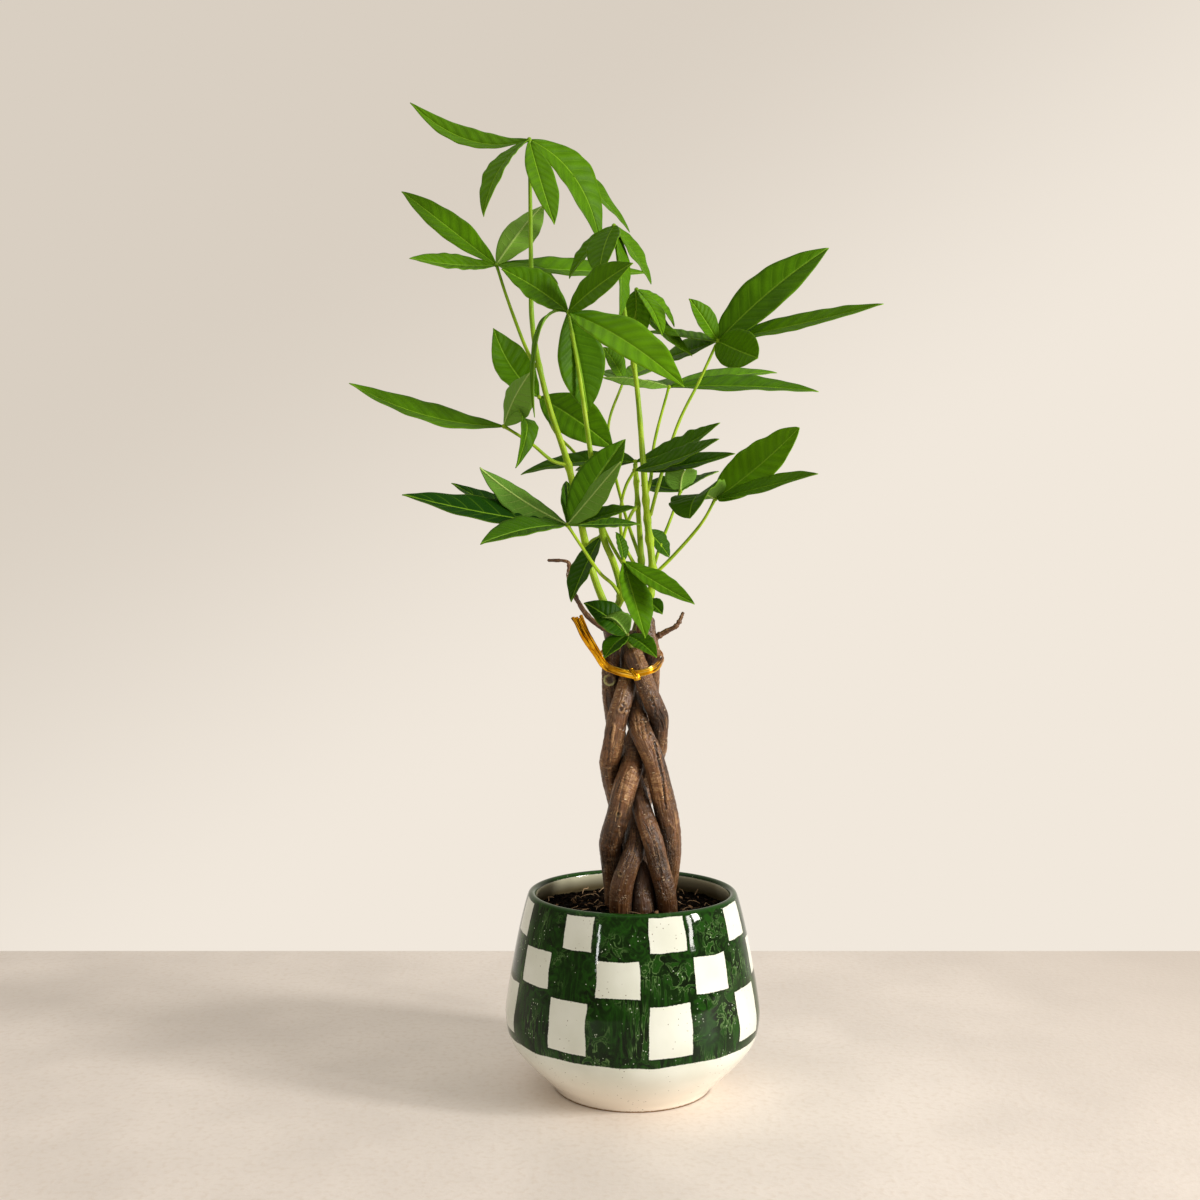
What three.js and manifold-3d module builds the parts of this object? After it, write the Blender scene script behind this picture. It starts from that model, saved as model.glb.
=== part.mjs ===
// Potted money tree: five braided Pachira trunks with leafy shoots, in a glazed ceramic pot.
// Millimetres, +Z up, -Y faces the viewer. The origin is the centre of the pot's flat foot.
import * as THREE from "three";
import { mergeVertices } from "three/addons/utils/BufferGeometryUtils.js";
import Module from "manifold-3d";

const wasm = await Module();
wasm.setup();

// Clearance between pieces that touch on the real plant.
const GAP = 0.3;
const TRUNK_GAP = 0.6;
// Vertices closer than this are one.
const WELD_WITHIN = 1e-4;

// Pot: outer wall from the foot to the rim, as radius and height, and the wall inside it.
const POT_OUTSIDE = [
  [46.5, 0], [48, 2.5], [55.5, 10], [64.5, 19], [72.6, 30], [75.2, 43],
  [74, 56], [70.8, 75], [66.8, 95], [63.6, 108], [62.4, 112],
];
const POT_INSIDE = [
  [57, 111.5], [58.2, 107], [61.4, 94], [65.4, 75], [68.6, 56], [69.6, 43], [66.5, 30], [57, 17], [42, 8],
];
// The rounded rim between the two walls.
const POT_RIM = [[61.4, 114], [59.8, 114.5], [58.1, 113.8]];
const POT_FLOOR = 7;
const POT_SIDES = 36;
const POT_OUTSIDE_STEPS = 10;
const POT_INSIDE_STEPS = 6;

// Soil: its level at the trunks and at the wall, the heights of the rings of its side, and how far that
// side stands off the pot.
const SOIL_BOTTOM = 8.3;
const SOIL_LEVEL = 104.5;
const SOIL_EDGE_LEVEL = 102.5;
const SOIL_SIDE_LEVELS = [9.5, 17, 30, 43, 56, 75, 94];
const SOIL_SIDE_GAP = 2;
const SOIL_SIDES = 18;
const SOIL_TOP_RINGS = 5;
// The lumps on its top: their height, and the waves along x and y that place them.
const SOIL_LUMP = 1.2;
const SOIL_WAVES = [[0.83, 0.31], [-0.17, 0.71]];
// The trunks stand in holes in the soil that clear them by this much.
const SOIL_HOLE_GAP = 0.45;

// Braid: each trunk's route from its buried end to its top, where x and y are taken at height z.
const TRUNK_SIDES = 8;
const TRUNK_RINGS = 28;
// The centre lines are spread apart in rounds, at this many points for each ring. They move less along x than
// along y, and are smoothed after each round apart from the last ones.
const TRUNK_FINER = 3;
const SPREAD_ROUNDS = 60;
const SPREAD_ALONG_X = 0.35;
const SPREAD_SMOOTHING = 0.3;
const ROUNDS_NOT_SMOOTHED = 6;
const TRUNK_RADIUS = 7.2;
const TRUNK_TAPER = 0.009;
const TRUNK_TAPER_FROM = 115;
const TRUNKS = [
  {
    name: "trunk_1",
    width: 0.95,
    route: [
      [8, -6, 74], [7.5, -9, 100], [6, -11, 115], [4.5, -6, 127], [0, 4, 139], [-6, 13, 152], [-8, 13, 165],
      [-10.4, 4, 178], [-11.4, -7, 190], [-11.6, -13, 203], [-9, -14, 216], [-5, -14, 229], [-1.5, -9, 241],
      [-1, 2, 253], [2, 8, 268],
    ],
  },
  {
    name: "trunk_2",
    width: 0.93,
    route: [
      [-8, -7, 74], [-7, -10, 98], [-6.8, -12, 113], [-5, -13.5, 125], [-2, -12, 135], [1.5, -5, 146],
      [2, 3, 156], [6, 11, 168], [11, 13, 181], [14, 8, 194], [14.2, -5, 207], [13, -12, 220],
      [9, -15, 233], [3.5, -15, 245], [-1, -13, 259],
    ],
  },
  {
    name: "trunk_3",
    width: 0.86,
    route: [
      [20, -5, 76], [19.5, -8, 103], [18.4, -11, 116], [15, -13, 128], [12, -13, 140], [8.7, -13, 152],
      [5.3, -11, 164], [1.5, -4, 175], [-3, 7, 188], [-8, 14, 200], [-10.5, 12, 212], [-12.3, 5, 225],
      [-12.5, -3, 240], [-11.5, -6, 256], [-11, -7, 275],
    ],
  },
  {
    name: "trunk_4",
    width: 1.04,
    route: [
      [-9, 6, 74], [-9, 5.5, 104], [-10, 4, 118], [-10.8, -1, 131], [-10.4, -8, 143], [-9.6, -13, 156],
      [-7.8, -14, 167], [-3.8, -13, 179], [-0.5, -7, 192], [2, 3, 203], [7, 11, 215], [10.5, 13, 228],
      [9, 8, 240], [8, 1, 253], [6, -3, 265], [8, -3, 278],
    ],
  },
  {
    name: "trunk_5",
    width: 1.02,
    route: [
      [14, 9, 74], [17.5, 7, 105], [19.3, 4, 118], [22, 0, 130], [22.4, -3, 143], [20.7, -6, 158],
      [17.3, -9, 173], [12.7, -12, 190], [8.7, -14, 203], [4.2, -12, 216], [0, -3, 230], [-4, 8, 244],
      [-8, 10, 258], [-11, 8.5, 268], [-14, 7, 277],
    ],
  },
];

// Dry twigs, each with the trunk it grew on, its route and its radius at the root and at the tip.
const TWIGS = [
  {
    trunk: "trunk_3",
    route: [
      [-12, -7, 268], [-19, -9, 271.5], [-26, -10, 277], [-31, -10, 284], [-35, -10, 292],
      [-38, -9, 301], [-38, -9, 309], [-50.5, -8, 310.5],
    ],
    radii: [1.9, 0.9],
  },
  {
    trunk: "trunk_4",
    route: [[9, -3, 262], [14, -4, 265], [20, -5, 268.5], [26, -6, 272], [30, -6, 280]],
    radii: [2.2, 1],
  },
];

// Gold tie: the loop round the trunk tops, its flat band's half width and half thickness, and its tail.
const TIE_LOOP = [
  [2, -23, 244.5], [10.5, -21.8, 246.5], [15.8, -12, 250], [18.2, 1, 253.5], [15, 11.5, 256],
  [5, 17, 257.5], [-7, 20.6, 257.5], [-17.3, 13.8, 255.5], [-19.2, -3, 252.5], [-16.2, -14, 248.5],
  [-8, -20.5, 245.5],
];
const TIE_HALF_WIDTH = 2.2;
const TIE_HALF_THICKNESS = 0.9;
const TIE_SIDES = 6;
const TIE_STEPS = 32;
const TIE_TAIL = [[-16.5, -14.2, 249], [-22, -14, 257], [-28.5, -13, 267.5], [-33.5, -12, 278.5]];
const TIE_TAIL_RADII = [1.9, 2.7];

// Leaflets: the blade's thickness, the rise of its two halves from the midrib, and its pieces along.
const BLADE_THICKNESS = 0.8;
const BLADE_FOLD = 0.18;
const BLADE_STEPS = 4;
const BLADE_ROOT = 0.5;
const BLADE_TIP = 0.3;
// How a blade's width falls off towards its root and its tip.
const BLADE_POWERS = [1.05, 1.1];
// A blade starts this far from the middle of its hub.
const BLADE_START = 1;
// A midrib's direction is taken between points this far to either side.
const NEARBY = 0.01;
// Leaf upper faces look up and a little to the viewer.
const BLADE_UP = new THREE.Vector3(0, -0.35, 1).normalize();

const SHOOT_SIDES = 6;
const STALK_SIDES = 5;
const STALK_RADII = [1.15, 0.85];
const HUB_RADIUS = 2.4;
// A shoot stands in a socket of this depth in its trunk's top, and runs straight on out of it for a bit.
const SOCKET_DEPTH = 6;
const SOCKET_SIDES = 12;
const STEM_STRAIGHT = 3;

// Shoots: the stem's route with its radius at the root and the tip. Each leaf has its stalk's route, which
// ends at the hub, and its leaflets. A leaflet is its tip from the hub, its width, the arch of its midrib
// and its roll in degrees. Some also have the point from the hub that their bent midrib makes for, or powers
// that make the blade rounder.
const SHOOTS = [
  {
    name: "shoot_left",
    trunk: "trunk_5",
    radii: [2.4, 1],
    stem: [
      [-23.5, 2, 303], [-31, 0, 334.5], [-39, -2, 370], [-48.5, -4, 398.5], [-56, -6, 429],
      [-59.5, -6, 452.5], [-60, -6, 485], [-61, -6, 559.5],
    ],
    leaves: [
      {
        stalk: [[-61, -6, 544], [-61, -6, 559]],
        leaflets: [
          { tip: [-73, 18, 29], width: 17, arch: 0, roll: -30, via: [-37, 9, -8.5] },
          { tip: [-25, -26, -53], width: 18, arch: 0, roll: 15, via: [-21, -14, -17.5] },
          { tip: [16, -32, -59], width: 18, arch: -1, roll: -15 },
          { tip: [42, 26, -56], width: 28, arch: 0, roll: 45, via: [34, 14, -11] },
          { tip: [61, 62, -37], width: 20, arch: 4, roll: 45 },
        ],
      },
      {
        stalk: [[-57, -6, 424], [-63, -1, 436], [-76, 9, 471], [-82, 14, 490]],
        leaflets: [
          { tip: [-59, 10, 48], width: 20, arch: 0, roll: -30 },
          { tip: [27, 36, 47], width: 20, arch: 3, roll: 20 },
          { tip: [-48, -32, -4], width: 18, arch: -2, roll: -25 },
          { tip: [94, 58, 10], width: 22, arch: -1, roll: 25 },
          { tip: [38, -20, -16], width: 18, arch: 1, roll: 10 },
        ],
      },
      {
        stalk: [[-38, -2, 367], [-47, -6, 369], [-60, -12, 379], [-75, -18, 388]],
        leaflets: [
          { tip: [-85, -26, 21], width: 22, arch: -7, roll: -20 },
          { tip: [16, -12, 29], width: 28, arch: 2, roll: 40 },
          { tip: [8, -16, -26], width: 17, arch: 0, roll: -45, via: [23, -8, 16] },
        ],
      },
      {
        stalk: [[-27, 1, 318], [-24, -6, 322], [-19, -14, 324]],
        leaflets: [{ tip: [-17, -20, -38], width: 19, arch: 1, roll: 25 }],
      },
    ],
  },
  {
    name: "shoot_front",
    trunk: "trunk_3",
    radii: [2.3, 0.9],
    stem: [
      [-10, -10, 281.5], [-7, -17, 289.5], [-11.5, -27, 308.5], [-17, -31, 321.5], [-21, -38, 347.5],
      [-24, -41, 366], [-30.5, -47, 410], [-37, -52, 447],
    ],
    leaves: [
      {
        stalk: [[-35, -50, 434], [-37, -52, 447]],
        leaflets: [
          { tip: [-36, -12, 21], width: 21, arch: 2, roll: -45 },
          { tip: [35, -32, 19], width: 20, arch: 2, roll: 60 },
          { tip: [62, -40, -48], width: 27, arch: 5, roll: 20 },
          { tip: [11, 18, -53], width: 28, arch: 2, roll: 60 },
          { tip: [-18.5, -10, -60], width: 9, arch: 0, roll: 40, via: [-22, -11, 5] },
        ],
      },
      {
        stalk: [[-7, -17, 289], [-12, -25, 296], [-19, -35, 302], [-29, -50, 316], [-37, -62, 328]],
        leaflets: [
          { tip: [-87, -24, 15], width: 22, arch: -2, roll: -20 },
          { tip: [-67, 30, 26], width: 22, arch: -4, roll: 0 },
          { tip: [-48, -4, 31], width: 19, arch: -3, roll: -25 },
          { tip: [-44, -42, -12], width: 20, arch: 3, roll: -10 },
          { tip: [-1, 18, 26], width: 14, arch: 1, roll: 45 },
          { tip: [32, 22, 50], width: 22, arch: 2, roll: 15 },
          { tip: [29, -26, 32], width: 20, arch: 0, roll: 45 },
          { tip: [37, -14, 9], width: 14, arch: 0, roll: 15 },
          { tip: [40, 22, 2], width: 14, arch: 0, roll: 10 },
        ],
      },
    ],
  },
  {
    name: "shoot_right",
    trunk: "trunk_4",
    radii: [2.4, 0.9],
    stem: [
      [9.5, -2.9, 287], [12, -2.2, 299], [8.5, -2, 338], [6, -3, 372.5], [2, -4, 417.5], [-4, -5, 452.5],
      [-11, -6, 508],
    ],
    leaves: [
      {
        stalk: [[-10, -6, 498], [-11, -6, 508]],
        leaflets: [
          { tip: [-9, -32, -38], width: 20, arch: 3, roll: 20 },
          { tip: [-27, 8, -29], width: 17, arch: 2, roll: -15 },
          { tip: [23, 18, -30], width: 18, arch: 1, roll: 35 },
          { tip: [3, -12, -57], width: 17, arch: 3, roll: -60 },
        ],
      },
      {
        stalk: [[10, -2, 335], [18, 6, 364], [29, 12, 396], [41, 14, 420], [52, 14, 444]],
        leaflets: [
          { tip: [67, -2, 56], width: 27, arch: 5, roll: 40, powers: [0.75, 1] },
          { tip: [94, -30, 16], width: 17, arch: -1, roll: 25 },
          { tip: [-18, -12, 23], width: 14, arch: 1, roll: -60 },
          { tip: [-43, 30, 12], width: 16, arch: 0, roll: -5 },
          { tip: [-36, 42, -5], width: 22, arch: 0, roll: -35 },
          { tip: [21, -26, -15], width: 24, arch: -2, roll: 55, powers: [0.6, 0.6] },
        ],
      },
      {
        stalk: [[7, -2, 346], [11, 8, 359], [14, 24, 383], [24, 44, 421]],
        leaflets: [
          { tip: [95, 4, -2], width: 22, arch: 2, roll: 15 },
          { tip: [75, 50, 18], width: 18, arch: 2, roll: 10 },
          { tip: [-6, 50, 12], width: 18, arch: 1, roll: -5 },
          { tip: [-42, -10, 4], width: 16, arch: 2, roll: -10 },
        ],
      },
      {
        stalk: [[0, -4, 426], [1, 8, 446], [3, 18, 476]],
        leaflets: [
          { tip: [0, -6, -36], width: 18, arch: 3, roll: 10 },
          { tip: [15, -16, -31], width: 14, arch: 3, roll: -15 },
          { tip: [24, 12, -20], width: 14, arch: 3, roll: 25 },
          { tip: [34, 0, -40], width: 18, arch: 0, roll: 10, via: [7, 12, -19] },
        ],
      },
      {
        stalk: [[13, -2, 302], [25, -3, 314], [41, -9, 333], [48, -14, 346]],
        leaflets: [
          { tip: [47, -14, 40], width: 27, arch: -3, roll: 40, powers: [0.6, 0.75] },
          { tip: [53, -42, 11], width: 18, arch: 0, roll: 20 },
          { tip: [-17, -30, -13], width: 32, arch: 8, roll: 25, powers: [0.5, 0.6] },
        ],
      },
      {
        stalk: [[12, -2, 305], [18, 14, 322], [25, 28, 339], [31, 40, 355]],
        leaflets: [
          { tip: [-24, 20, 6], width: 18, arch: 1, roll: -20 },
          { tip: [2, -14, 12], width: 20, arch: 3, roll: 0, powers: [0.6, 0.6] },
          { tip: [26, 22, 15], width: 14, arch: 1, roll: -15 },
        ],
      },
      {
        stalk: [[10, -2, 323], [10, 4, 327], [9, 8, 329]],
        leaflets: [{ tip: [14, 8, -16], width: 14, arch: 1, roll: 40 }],
      },
      {
        stalk: [[10.5, -2, 290], [9.5, -5, 288], [8, -8, 287]],
        leaflets: [{ tip: [9, -10, -8], width: 10, arch: 1, roll: 15 }],
      },
    ],
  },
  {
    name: "shoot_middle",
    trunk: "trunk_1",
    radii: [2.4, 1.2],
    stem: [
      [6, 8, 287], [5.5, 6, 311], [3, 3, 347], [1.5, 2, 369],
    ],
    leaves: [
      {
        stalk: [[5, 6, 302], [-6, -4, 323], [-7, -12, 342], [-4, -14, 354], [1, -13, 363]],
        leaflets: [
          { tip: [45, -45, 13], width: 18, arch: -3, roll: 30 },
          { tip: [55, -35, 6], width: 16, arch: -2, roll: 25 },
        ],
      },
      {
        stalk: [[3, 2, 357], [2, 6, 370]],
        leaflets: [
          { tip: [48, -26, 20], width: 19, arch: -4, roll: 25 },
          { tip: [-70, 16, -6], width: 18, arch: 4, roll: -15 },
          { tip: [-37, 40, -1], width: 18, arch: 2, roll: -30 },
        ],
      },
      {
        stalk: [[5, 7, 311], [-6, 36, 349], [-14, 56, 397], [-4, 66, 429]],
        leaflets: [
          { tip: [-13, -8, 20], width: 16, arch: 1, roll: -40 },
          { tip: [-15, 32, 11], width: 16, arch: 1, roll: -5 },
          { tip: [28, 40, 19], width: 18, arch: 1, roll: 5 },
        ],
      },
      {
        stalk: [
          [5, 8, 293], [-12, 14, 320], [-24, 22, 348], [-33, 28, 375], [-47, 32, 391], [-57, 34, 413],
        ],
        leaflets: [
          { tip: [-28, -4, 42], width: 27, arch: -7, roll: -30 },
          { tip: [46, -18, -34], width: 28, arch: 4, roll: 40 },
        ],
      },
      {
        stalk: [[3, 3, 344], [-2, -14, 335], [-6, -27, 321], [-6, -36, 309]],
        leaflets: [
          { tip: [39, -20, -24], width: 16, arch: -1, roll: 10 },
          { tip: [12, -18, -43], width: 22, arch: 0, roll: -25 },
          { tip: [-4, 4, 17], width: 9, arch: 1, roll: 30 },
        ],
      },
    ],
  },
  {
    name: "sprout",
    trunk: "trunk_2",
    radii: [1.6, 1.3],
    stem: [
      [-2.5, -15.5, 264], [-3.5, -18.5, 266.5],
    ],
    leaves: [
      {
        stalk: [[-2, -14, 262], [-3.5, -18.5, 266.5]],
        leaflets: [
          { tip: [-25, -10, 19], width: 18, arch: 3, roll: -45 },
          { tip: [-13, -20, 11], width: 16, arch: 4, roll: 30 },
          { tip: [-13.5, -14, -12.5], width: 13, arch: 2, roll: 0 },
          { tip: [16.5, -16, -12], width: 13, arch: 2, roll: 10 },
        ],
      },
    ],
  },
];

function paint(color, roughness, metalness) {
  return new THREE.MeshStandardMaterial({ color, roughness, metalness });
}

function vectors(points) {
  return points.map(([x, y, z]) => new THREE.Vector3(x, y, z));
}

// A smooth route through points, as evenly spaced points.
function smooth(points, steps) {
  return new THREE.CatmullRomCurve3(vectors(points), false, "centripetal").getSpacedPoints(steps);
}

function welded(geometry) {
  const bare = geometry.clone();
  bare.deleteAttribute("normal");
  bare.deleteAttribute("uv");
  return mergeVertices(bare, WELD_WITHIN);
}

function solid(geometry) {
  const bare = welded(geometry);
  return new wasm.Manifold(new wasm.Mesh({
    numProp: 3,
    vertProperties: Float32Array.from(bare.attributes.position.array),
    triVerts: Uint32Array.from(bare.index.array),
  }));
}

function geometryOf(manifold) {
  const mesh = manifold.getMesh();
  const geometry = new THREE.BufferGeometry();
  geometry.setAttribute("position", new THREE.BufferAttribute(mesh.vertProperties, 3));
  geometry.setIndex(new THREE.BufferAttribute(mesh.triVerts, 1));
  geometry.computeVertexNormals();
  return geometry;
}

// Frames along a route: at each point its tangent and two sides, carried along without twist.
function framesAlong(points) {
  const frames = [];
  points.forEach((point, i) => {
    const before = points[Math.max(i - 1, 0)];
    const after = points[Math.min(i + 1, points.length - 1)];
    const tangent = after.clone().sub(before).normalize();
    let side = new THREE.Vector3(1, 0, 0);
    if (i > 0) {
      const turn = new THREE.Quaternion().setFromUnitVectors(frames[i - 1].tangent, tangent);
      side = frames[i - 1].side.clone().applyQuaternion(turn);
    }
    side.addScaledVector(tangent, -side.dot(tangent)).normalize();
    frames.push({ point, tangent, side, other: tangent.clone().cross(side) });
  });
  return frames;
}

// A closed tube along points, whose radius is a function of the place (0 to 1) and the point.
function tube(points, sides, radiusAt) {
  const rings = points.length - 1;
  const frames = framesAlong(points);
  const geometry = new THREE.CylinderGeometry(1, 1, 1, sides, rings);
  const position = geometry.attributes.position;
  const place = new THREE.Vector3();
  for (let i = 0; i < position.count; i++) {
    place.fromBufferAttribute(position, i);
    const ring = Math.round((place.y + 0.5) * rings);
    const { point, side, other } = frames[ring];
    const radius = radiusAt(ring / rings, point);
    place.set(place.x * radius, place.z * radius, 0);
    const moved = point.clone().addScaledVector(other, place.x).addScaledVector(side, place.y);
    position.setXYZ(i, moved.x, moved.y, moved.z);
  }
  return solid(geometry);
}

function taperedTube(route, radii, sides, steps) {
  return tube(smooth(route, steps), sides, (u) => THREE.MathUtils.lerp(radii[0], radii[1], u));
}

// A point on a leaflet's midrib, u from the hub (0) to the tip (1).
function midrib(leaflet, hub, up, u) {
  const tip = new THREE.Vector3(...leaflet.tip);
  if (leaflet.via) {
    const via = new THREE.Vector3(...leaflet.via);
    return hub.clone().addScaledVector(via, 2 * u * (1 - u)).addScaledVector(tip, u * u);
  }
  return hub.clone().addScaledVector(tip, u).addScaledVector(up, leaflet.arch * 4 * u * (1 - u));
}

// Width along a leaflet: pointed at both ends, and 1 where it is widest.
function bladeShape(u, [root, tip]) {
  const widest = root / (root + tip);
  return (u / widest) ** root * ((1 - u) / (1 - widest)) ** tip;
}

function leafletSolid(leaflet, hub) {
  const along = new THREE.Vector3(...leaflet.tip);
  const reach = leaflet.via ? 2 * new THREE.Vector3(...leaflet.via).length() : along.length();
  const start = BLADE_START / reach;
  along.normalize();
  const up = BLADE_UP.clone().addScaledVector(along, -BLADE_UP.dot(along)).normalize();
  up.applyAxisAngle(along, THREE.MathUtils.degToRad(leaflet.roll));
  const side = up.clone().cross(along);
  const geometry = new THREE.BoxGeometry(1, 1, 1, 2, 1, BLADE_STEPS);
  const position = geometry.attributes.position;
  for (let i = 0; i < position.count; i++) {
    const u = THREE.MathUtils.lerp(start, 1, position.getZ(i) + 0.5);
    const blade = (leaflet.width / 2) * bladeShape(u, leaflet.powers ?? BLADE_POWERS);
    const halfWidth = blade + THREE.MathUtils.lerp(BLADE_ROOT, BLADE_TIP, u);
    const across = position.getX(i) * 2 * halfWidth;
    const ahead = midrib(leaflet, hub, up, Math.min(u + NEARBY, 1));
    const tangent = ahead.sub(midrib(leaflet, hub, up, Math.max(u - NEARBY, 0))).normalize();
    const face = tangent.clone().cross(side).normalize();
    const rise = Math.abs(across) * BLADE_FOLD + position.getY(i) * BLADE_THICKNESS;
    const moved = midrib(leaflet, hub, up, u).addScaledVector(side, across).addScaledVector(face, rise);
    position.setXYZ(i, moved.x, moved.y, moved.z);
  }
  return solid(geometry);
}

function hubSolid(hub) {
  return solid(new THREE.OctahedronGeometry(HUB_RADIUS).translate(hub.x, hub.y, hub.z));
}

function leafSolids(leaf) {
  const hub = new THREE.Vector3(...leaf.stalk[leaf.stalk.length - 1]);
  const stalk = taperedTube(leaf.stalk, STALK_RADII, STALK_SIDES, leaf.stalk.length + 1);
  return [stalk, hubSolid(hub), ...leaf.leaflets.map((leaflet) => leafletSolid(leaflet, hub))];
}

// Pushes the trunks' centre lines apart, a bit in each round, until each trunk clears the next.
function spreadApart(trunks) {
  for (let round = 0; round < SPREAD_ROUNDS; round++) {
    for (const one of trunks) {
      for (const two of trunks) {
        if (one !== two) {
          pushPair(one, two);
        }
      }
    }
    if (round < SPREAD_ROUNDS - ROUNDS_NOT_SMOOTHED) {
      for (const trunk of trunks) {
        trunk.points = smoothed(trunk.points);
      }
    }
  }
}

// Each point moves towards the middle of its two neighbours.
function smoothed(points) {
  return points.map((point, i) => {
    const before = points[i - 1] ?? point;
    const after = points[i + 1] ?? point;
    const isEnd = before === point || after === point;
    return isEnd ? point : point.clone().lerp(before.clone().lerp(after, 0.5), SPREAD_SMOOTHING);
  });
}

function pushPair(one, two) {
  for (const point of one.points) {
    const near = two.points.reduce((a, b) => (a.distanceTo(point) < b.distanceTo(point) ? a : b));
    const away = point.clone().sub(near);
    const lack = trunkRadius(one, point) + trunkRadius(two, near) + TRUNK_GAP - away.length();
    if (lack > 0) {
      away.set(away.x * SPREAD_ALONG_X, away.y, 0).normalize().multiplyScalar(lack / 2);
      point.add(away);
      near.sub(away);
    }
  }
}

function trunkRadius(trunk, point) {
  const rise = Math.max(point.z - TRUNK_TAPER_FROM, 0);
  return trunk.width * (TRUNK_RADIUS - TRUNK_TAPER * rise);
}

function potGeometry() {
  const flat = (points) => points.map(([r, z]) => new THREE.Vector2(r, z));
  const outline = [
    new THREE.Vector2(0, 0),
    ...new THREE.SplineCurve(flat(POT_OUTSIDE)).getPoints(POT_OUTSIDE_STEPS),
    ...flat(POT_RIM),
    ...new THREE.SplineCurve(flat(POT_INSIDE)).getPoints(POT_INSIDE_STEPS),
    new THREE.Vector2(0, POT_FLOOR),
  ];
  return new THREE.LatheGeometry(outline, POT_SIDES).rotateX(Math.PI / 2);
}

// Radius of the pot's inner wall at a height.
function insideRadius(z) {
  const wall = [...POT_INSIDE].reverse();
  const above = Math.max(wall.findIndex(([, height]) => height >= z), 1);
  const [r0, z0] = wall[above - 1];
  const [r1, z1] = wall[above];
  return THREE.MathUtils.lerp(r0, r1, (z - z0) / (z1 - z0));
}

// The soil fills the pot's inside up to its level, with lumps raised on its top.
function soilSolid() {
  const edge = insideRadius(SOIL_EDGE_LEVEL) - 2 * GAP;
  const outline = [new THREE.Vector2(0, SOIL_BOTTOM)];
  for (const z of SOIL_SIDE_LEVELS) {
    outline.push(new THREE.Vector2(insideRadius(z) - SOIL_SIDE_GAP, z));
  }
  for (let i = 0; i <= SOIL_TOP_RINGS; i++) {
    const inward = i / SOIL_TOP_RINGS;
    const level = THREE.MathUtils.lerp(SOIL_EDGE_LEVEL, SOIL_LEVEL, inward);
    outline.push(new THREE.Vector2(edge * (1 - inward), level));
  }
  const geometry = new THREE.LatheGeometry(outline, SOIL_SIDES).rotateX(Math.PI / 2);
  const position = geometry.attributes.position;
  for (let i = 0; i < position.count; i++) {
    const [x, y, z] = [position.getX(i), position.getY(i), position.getZ(i)];
    if (z > SOIL_EDGE_LEVEL) {
      const [one, two] = SOIL_WAVES.map(([alongX, alongY]) => x * alongX + y * alongY);
      position.setZ(i, z + SOIL_LUMP * Math.sin(one) * Math.cos(two));
    }
  }
  return solid(geometry);
}

// A point beside the tie's loop: u round it, across the band's width and out from the trunks.
function loopPoint(curve, u, across, out) {
  const point = curve.getPoint(u);
  const tangent = curve.getTangent(u);
  const outward = new THREE.Vector3(tangent.y, -tangent.x, 0).normalize();
  const upward = outward.clone().cross(tangent);
  return point.addScaledVector(outward, out).addScaledVector(upward, across);
}

// The tie's band is a ring bent round its loop, with the tail standing up from it.
function tieSolid() {
  const curve = new THREE.CatmullRomCurve3(vectors(TIE_LOOP), true, "centripetal");
  const ring = { radius: 2, tube: 1 };
  const geometry = new THREE.TorusGeometry(ring.radius, ring.tube, TIE_SIDES, TIE_STEPS);
  const position = geometry.attributes.position;
  for (let i = 0; i < position.count; i++) {
    const [x, y, z] = [position.getX(i), position.getY(i), position.getZ(i)];
    const turn = Math.atan2(y, x) / (2 * Math.PI);
    const out = (Math.hypot(x, y) - ring.radius) * TIE_HALF_THICKNESS;
    const moved = loopPoint(curve, (turn + 1) % 1, z * TIE_HALF_WIDTH, out);
    position.setXYZ(i, moved.x, moved.y, moved.z);
  }
  return solid(geometry).add(taperedTube(TIE_TAIL, TIE_TAIL_RADII, TIE_SIDES, TIE_TAIL.length * 2));
}

const group = new THREE.Group();

function place(name, geometry, material) {
  const mesh = new THREE.Mesh(geometry, material);
  mesh.name = name;
  group.add(mesh);
}

const trunks = TRUNKS.map((trunk) => {
  return { ...trunk, points: smooth(trunk.route, TRUNK_RINGS * TRUNK_FINER) };
});
spreadApart(trunks);
for (const trunk of trunks) {
  trunk.points = trunk.points.filter((point, i) => i % TRUNK_FINER === 0);
}

let soil = soilSolid();
for (const trunk of trunks) {
  const inSoil = trunk.points.filter((point) => point.z < SOIL_LEVEL + 2 * TRUNK_RADIUS);
  const down = inSoil[0].clone().sub(inSoil[1]).normalize();
  const below = inSoil[0].clone().addScaledVector(down, 2 * GAP);
  const holeRadius = (u, point) => trunkRadius(trunk, point) + SOIL_HOLE_GAP;
  soil = soil.subtract(tube([below, ...inSoil], TRUNK_SIDES, holeRadius));
}

place("pot", potGeometry(), paint(0x2f5c36, 0.2, 0));
place("soil", geometryOf(soil), paint(0x2b211a, 0.95, 0));

for (const trunk of trunks) {
  trunk.wood = tube(trunk.points, TRUNK_SIDES, (u, point) => trunkRadius(trunk, point));
  for (const twig of TWIGS.filter((candidate) => candidate.trunk === trunk.name)) {
    const wood = taperedTube(twig.route, twig.radii, STALK_SIDES, twig.route.length * 2);
    trunk.wood = trunk.wood.add(wood);
  }
}

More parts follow.
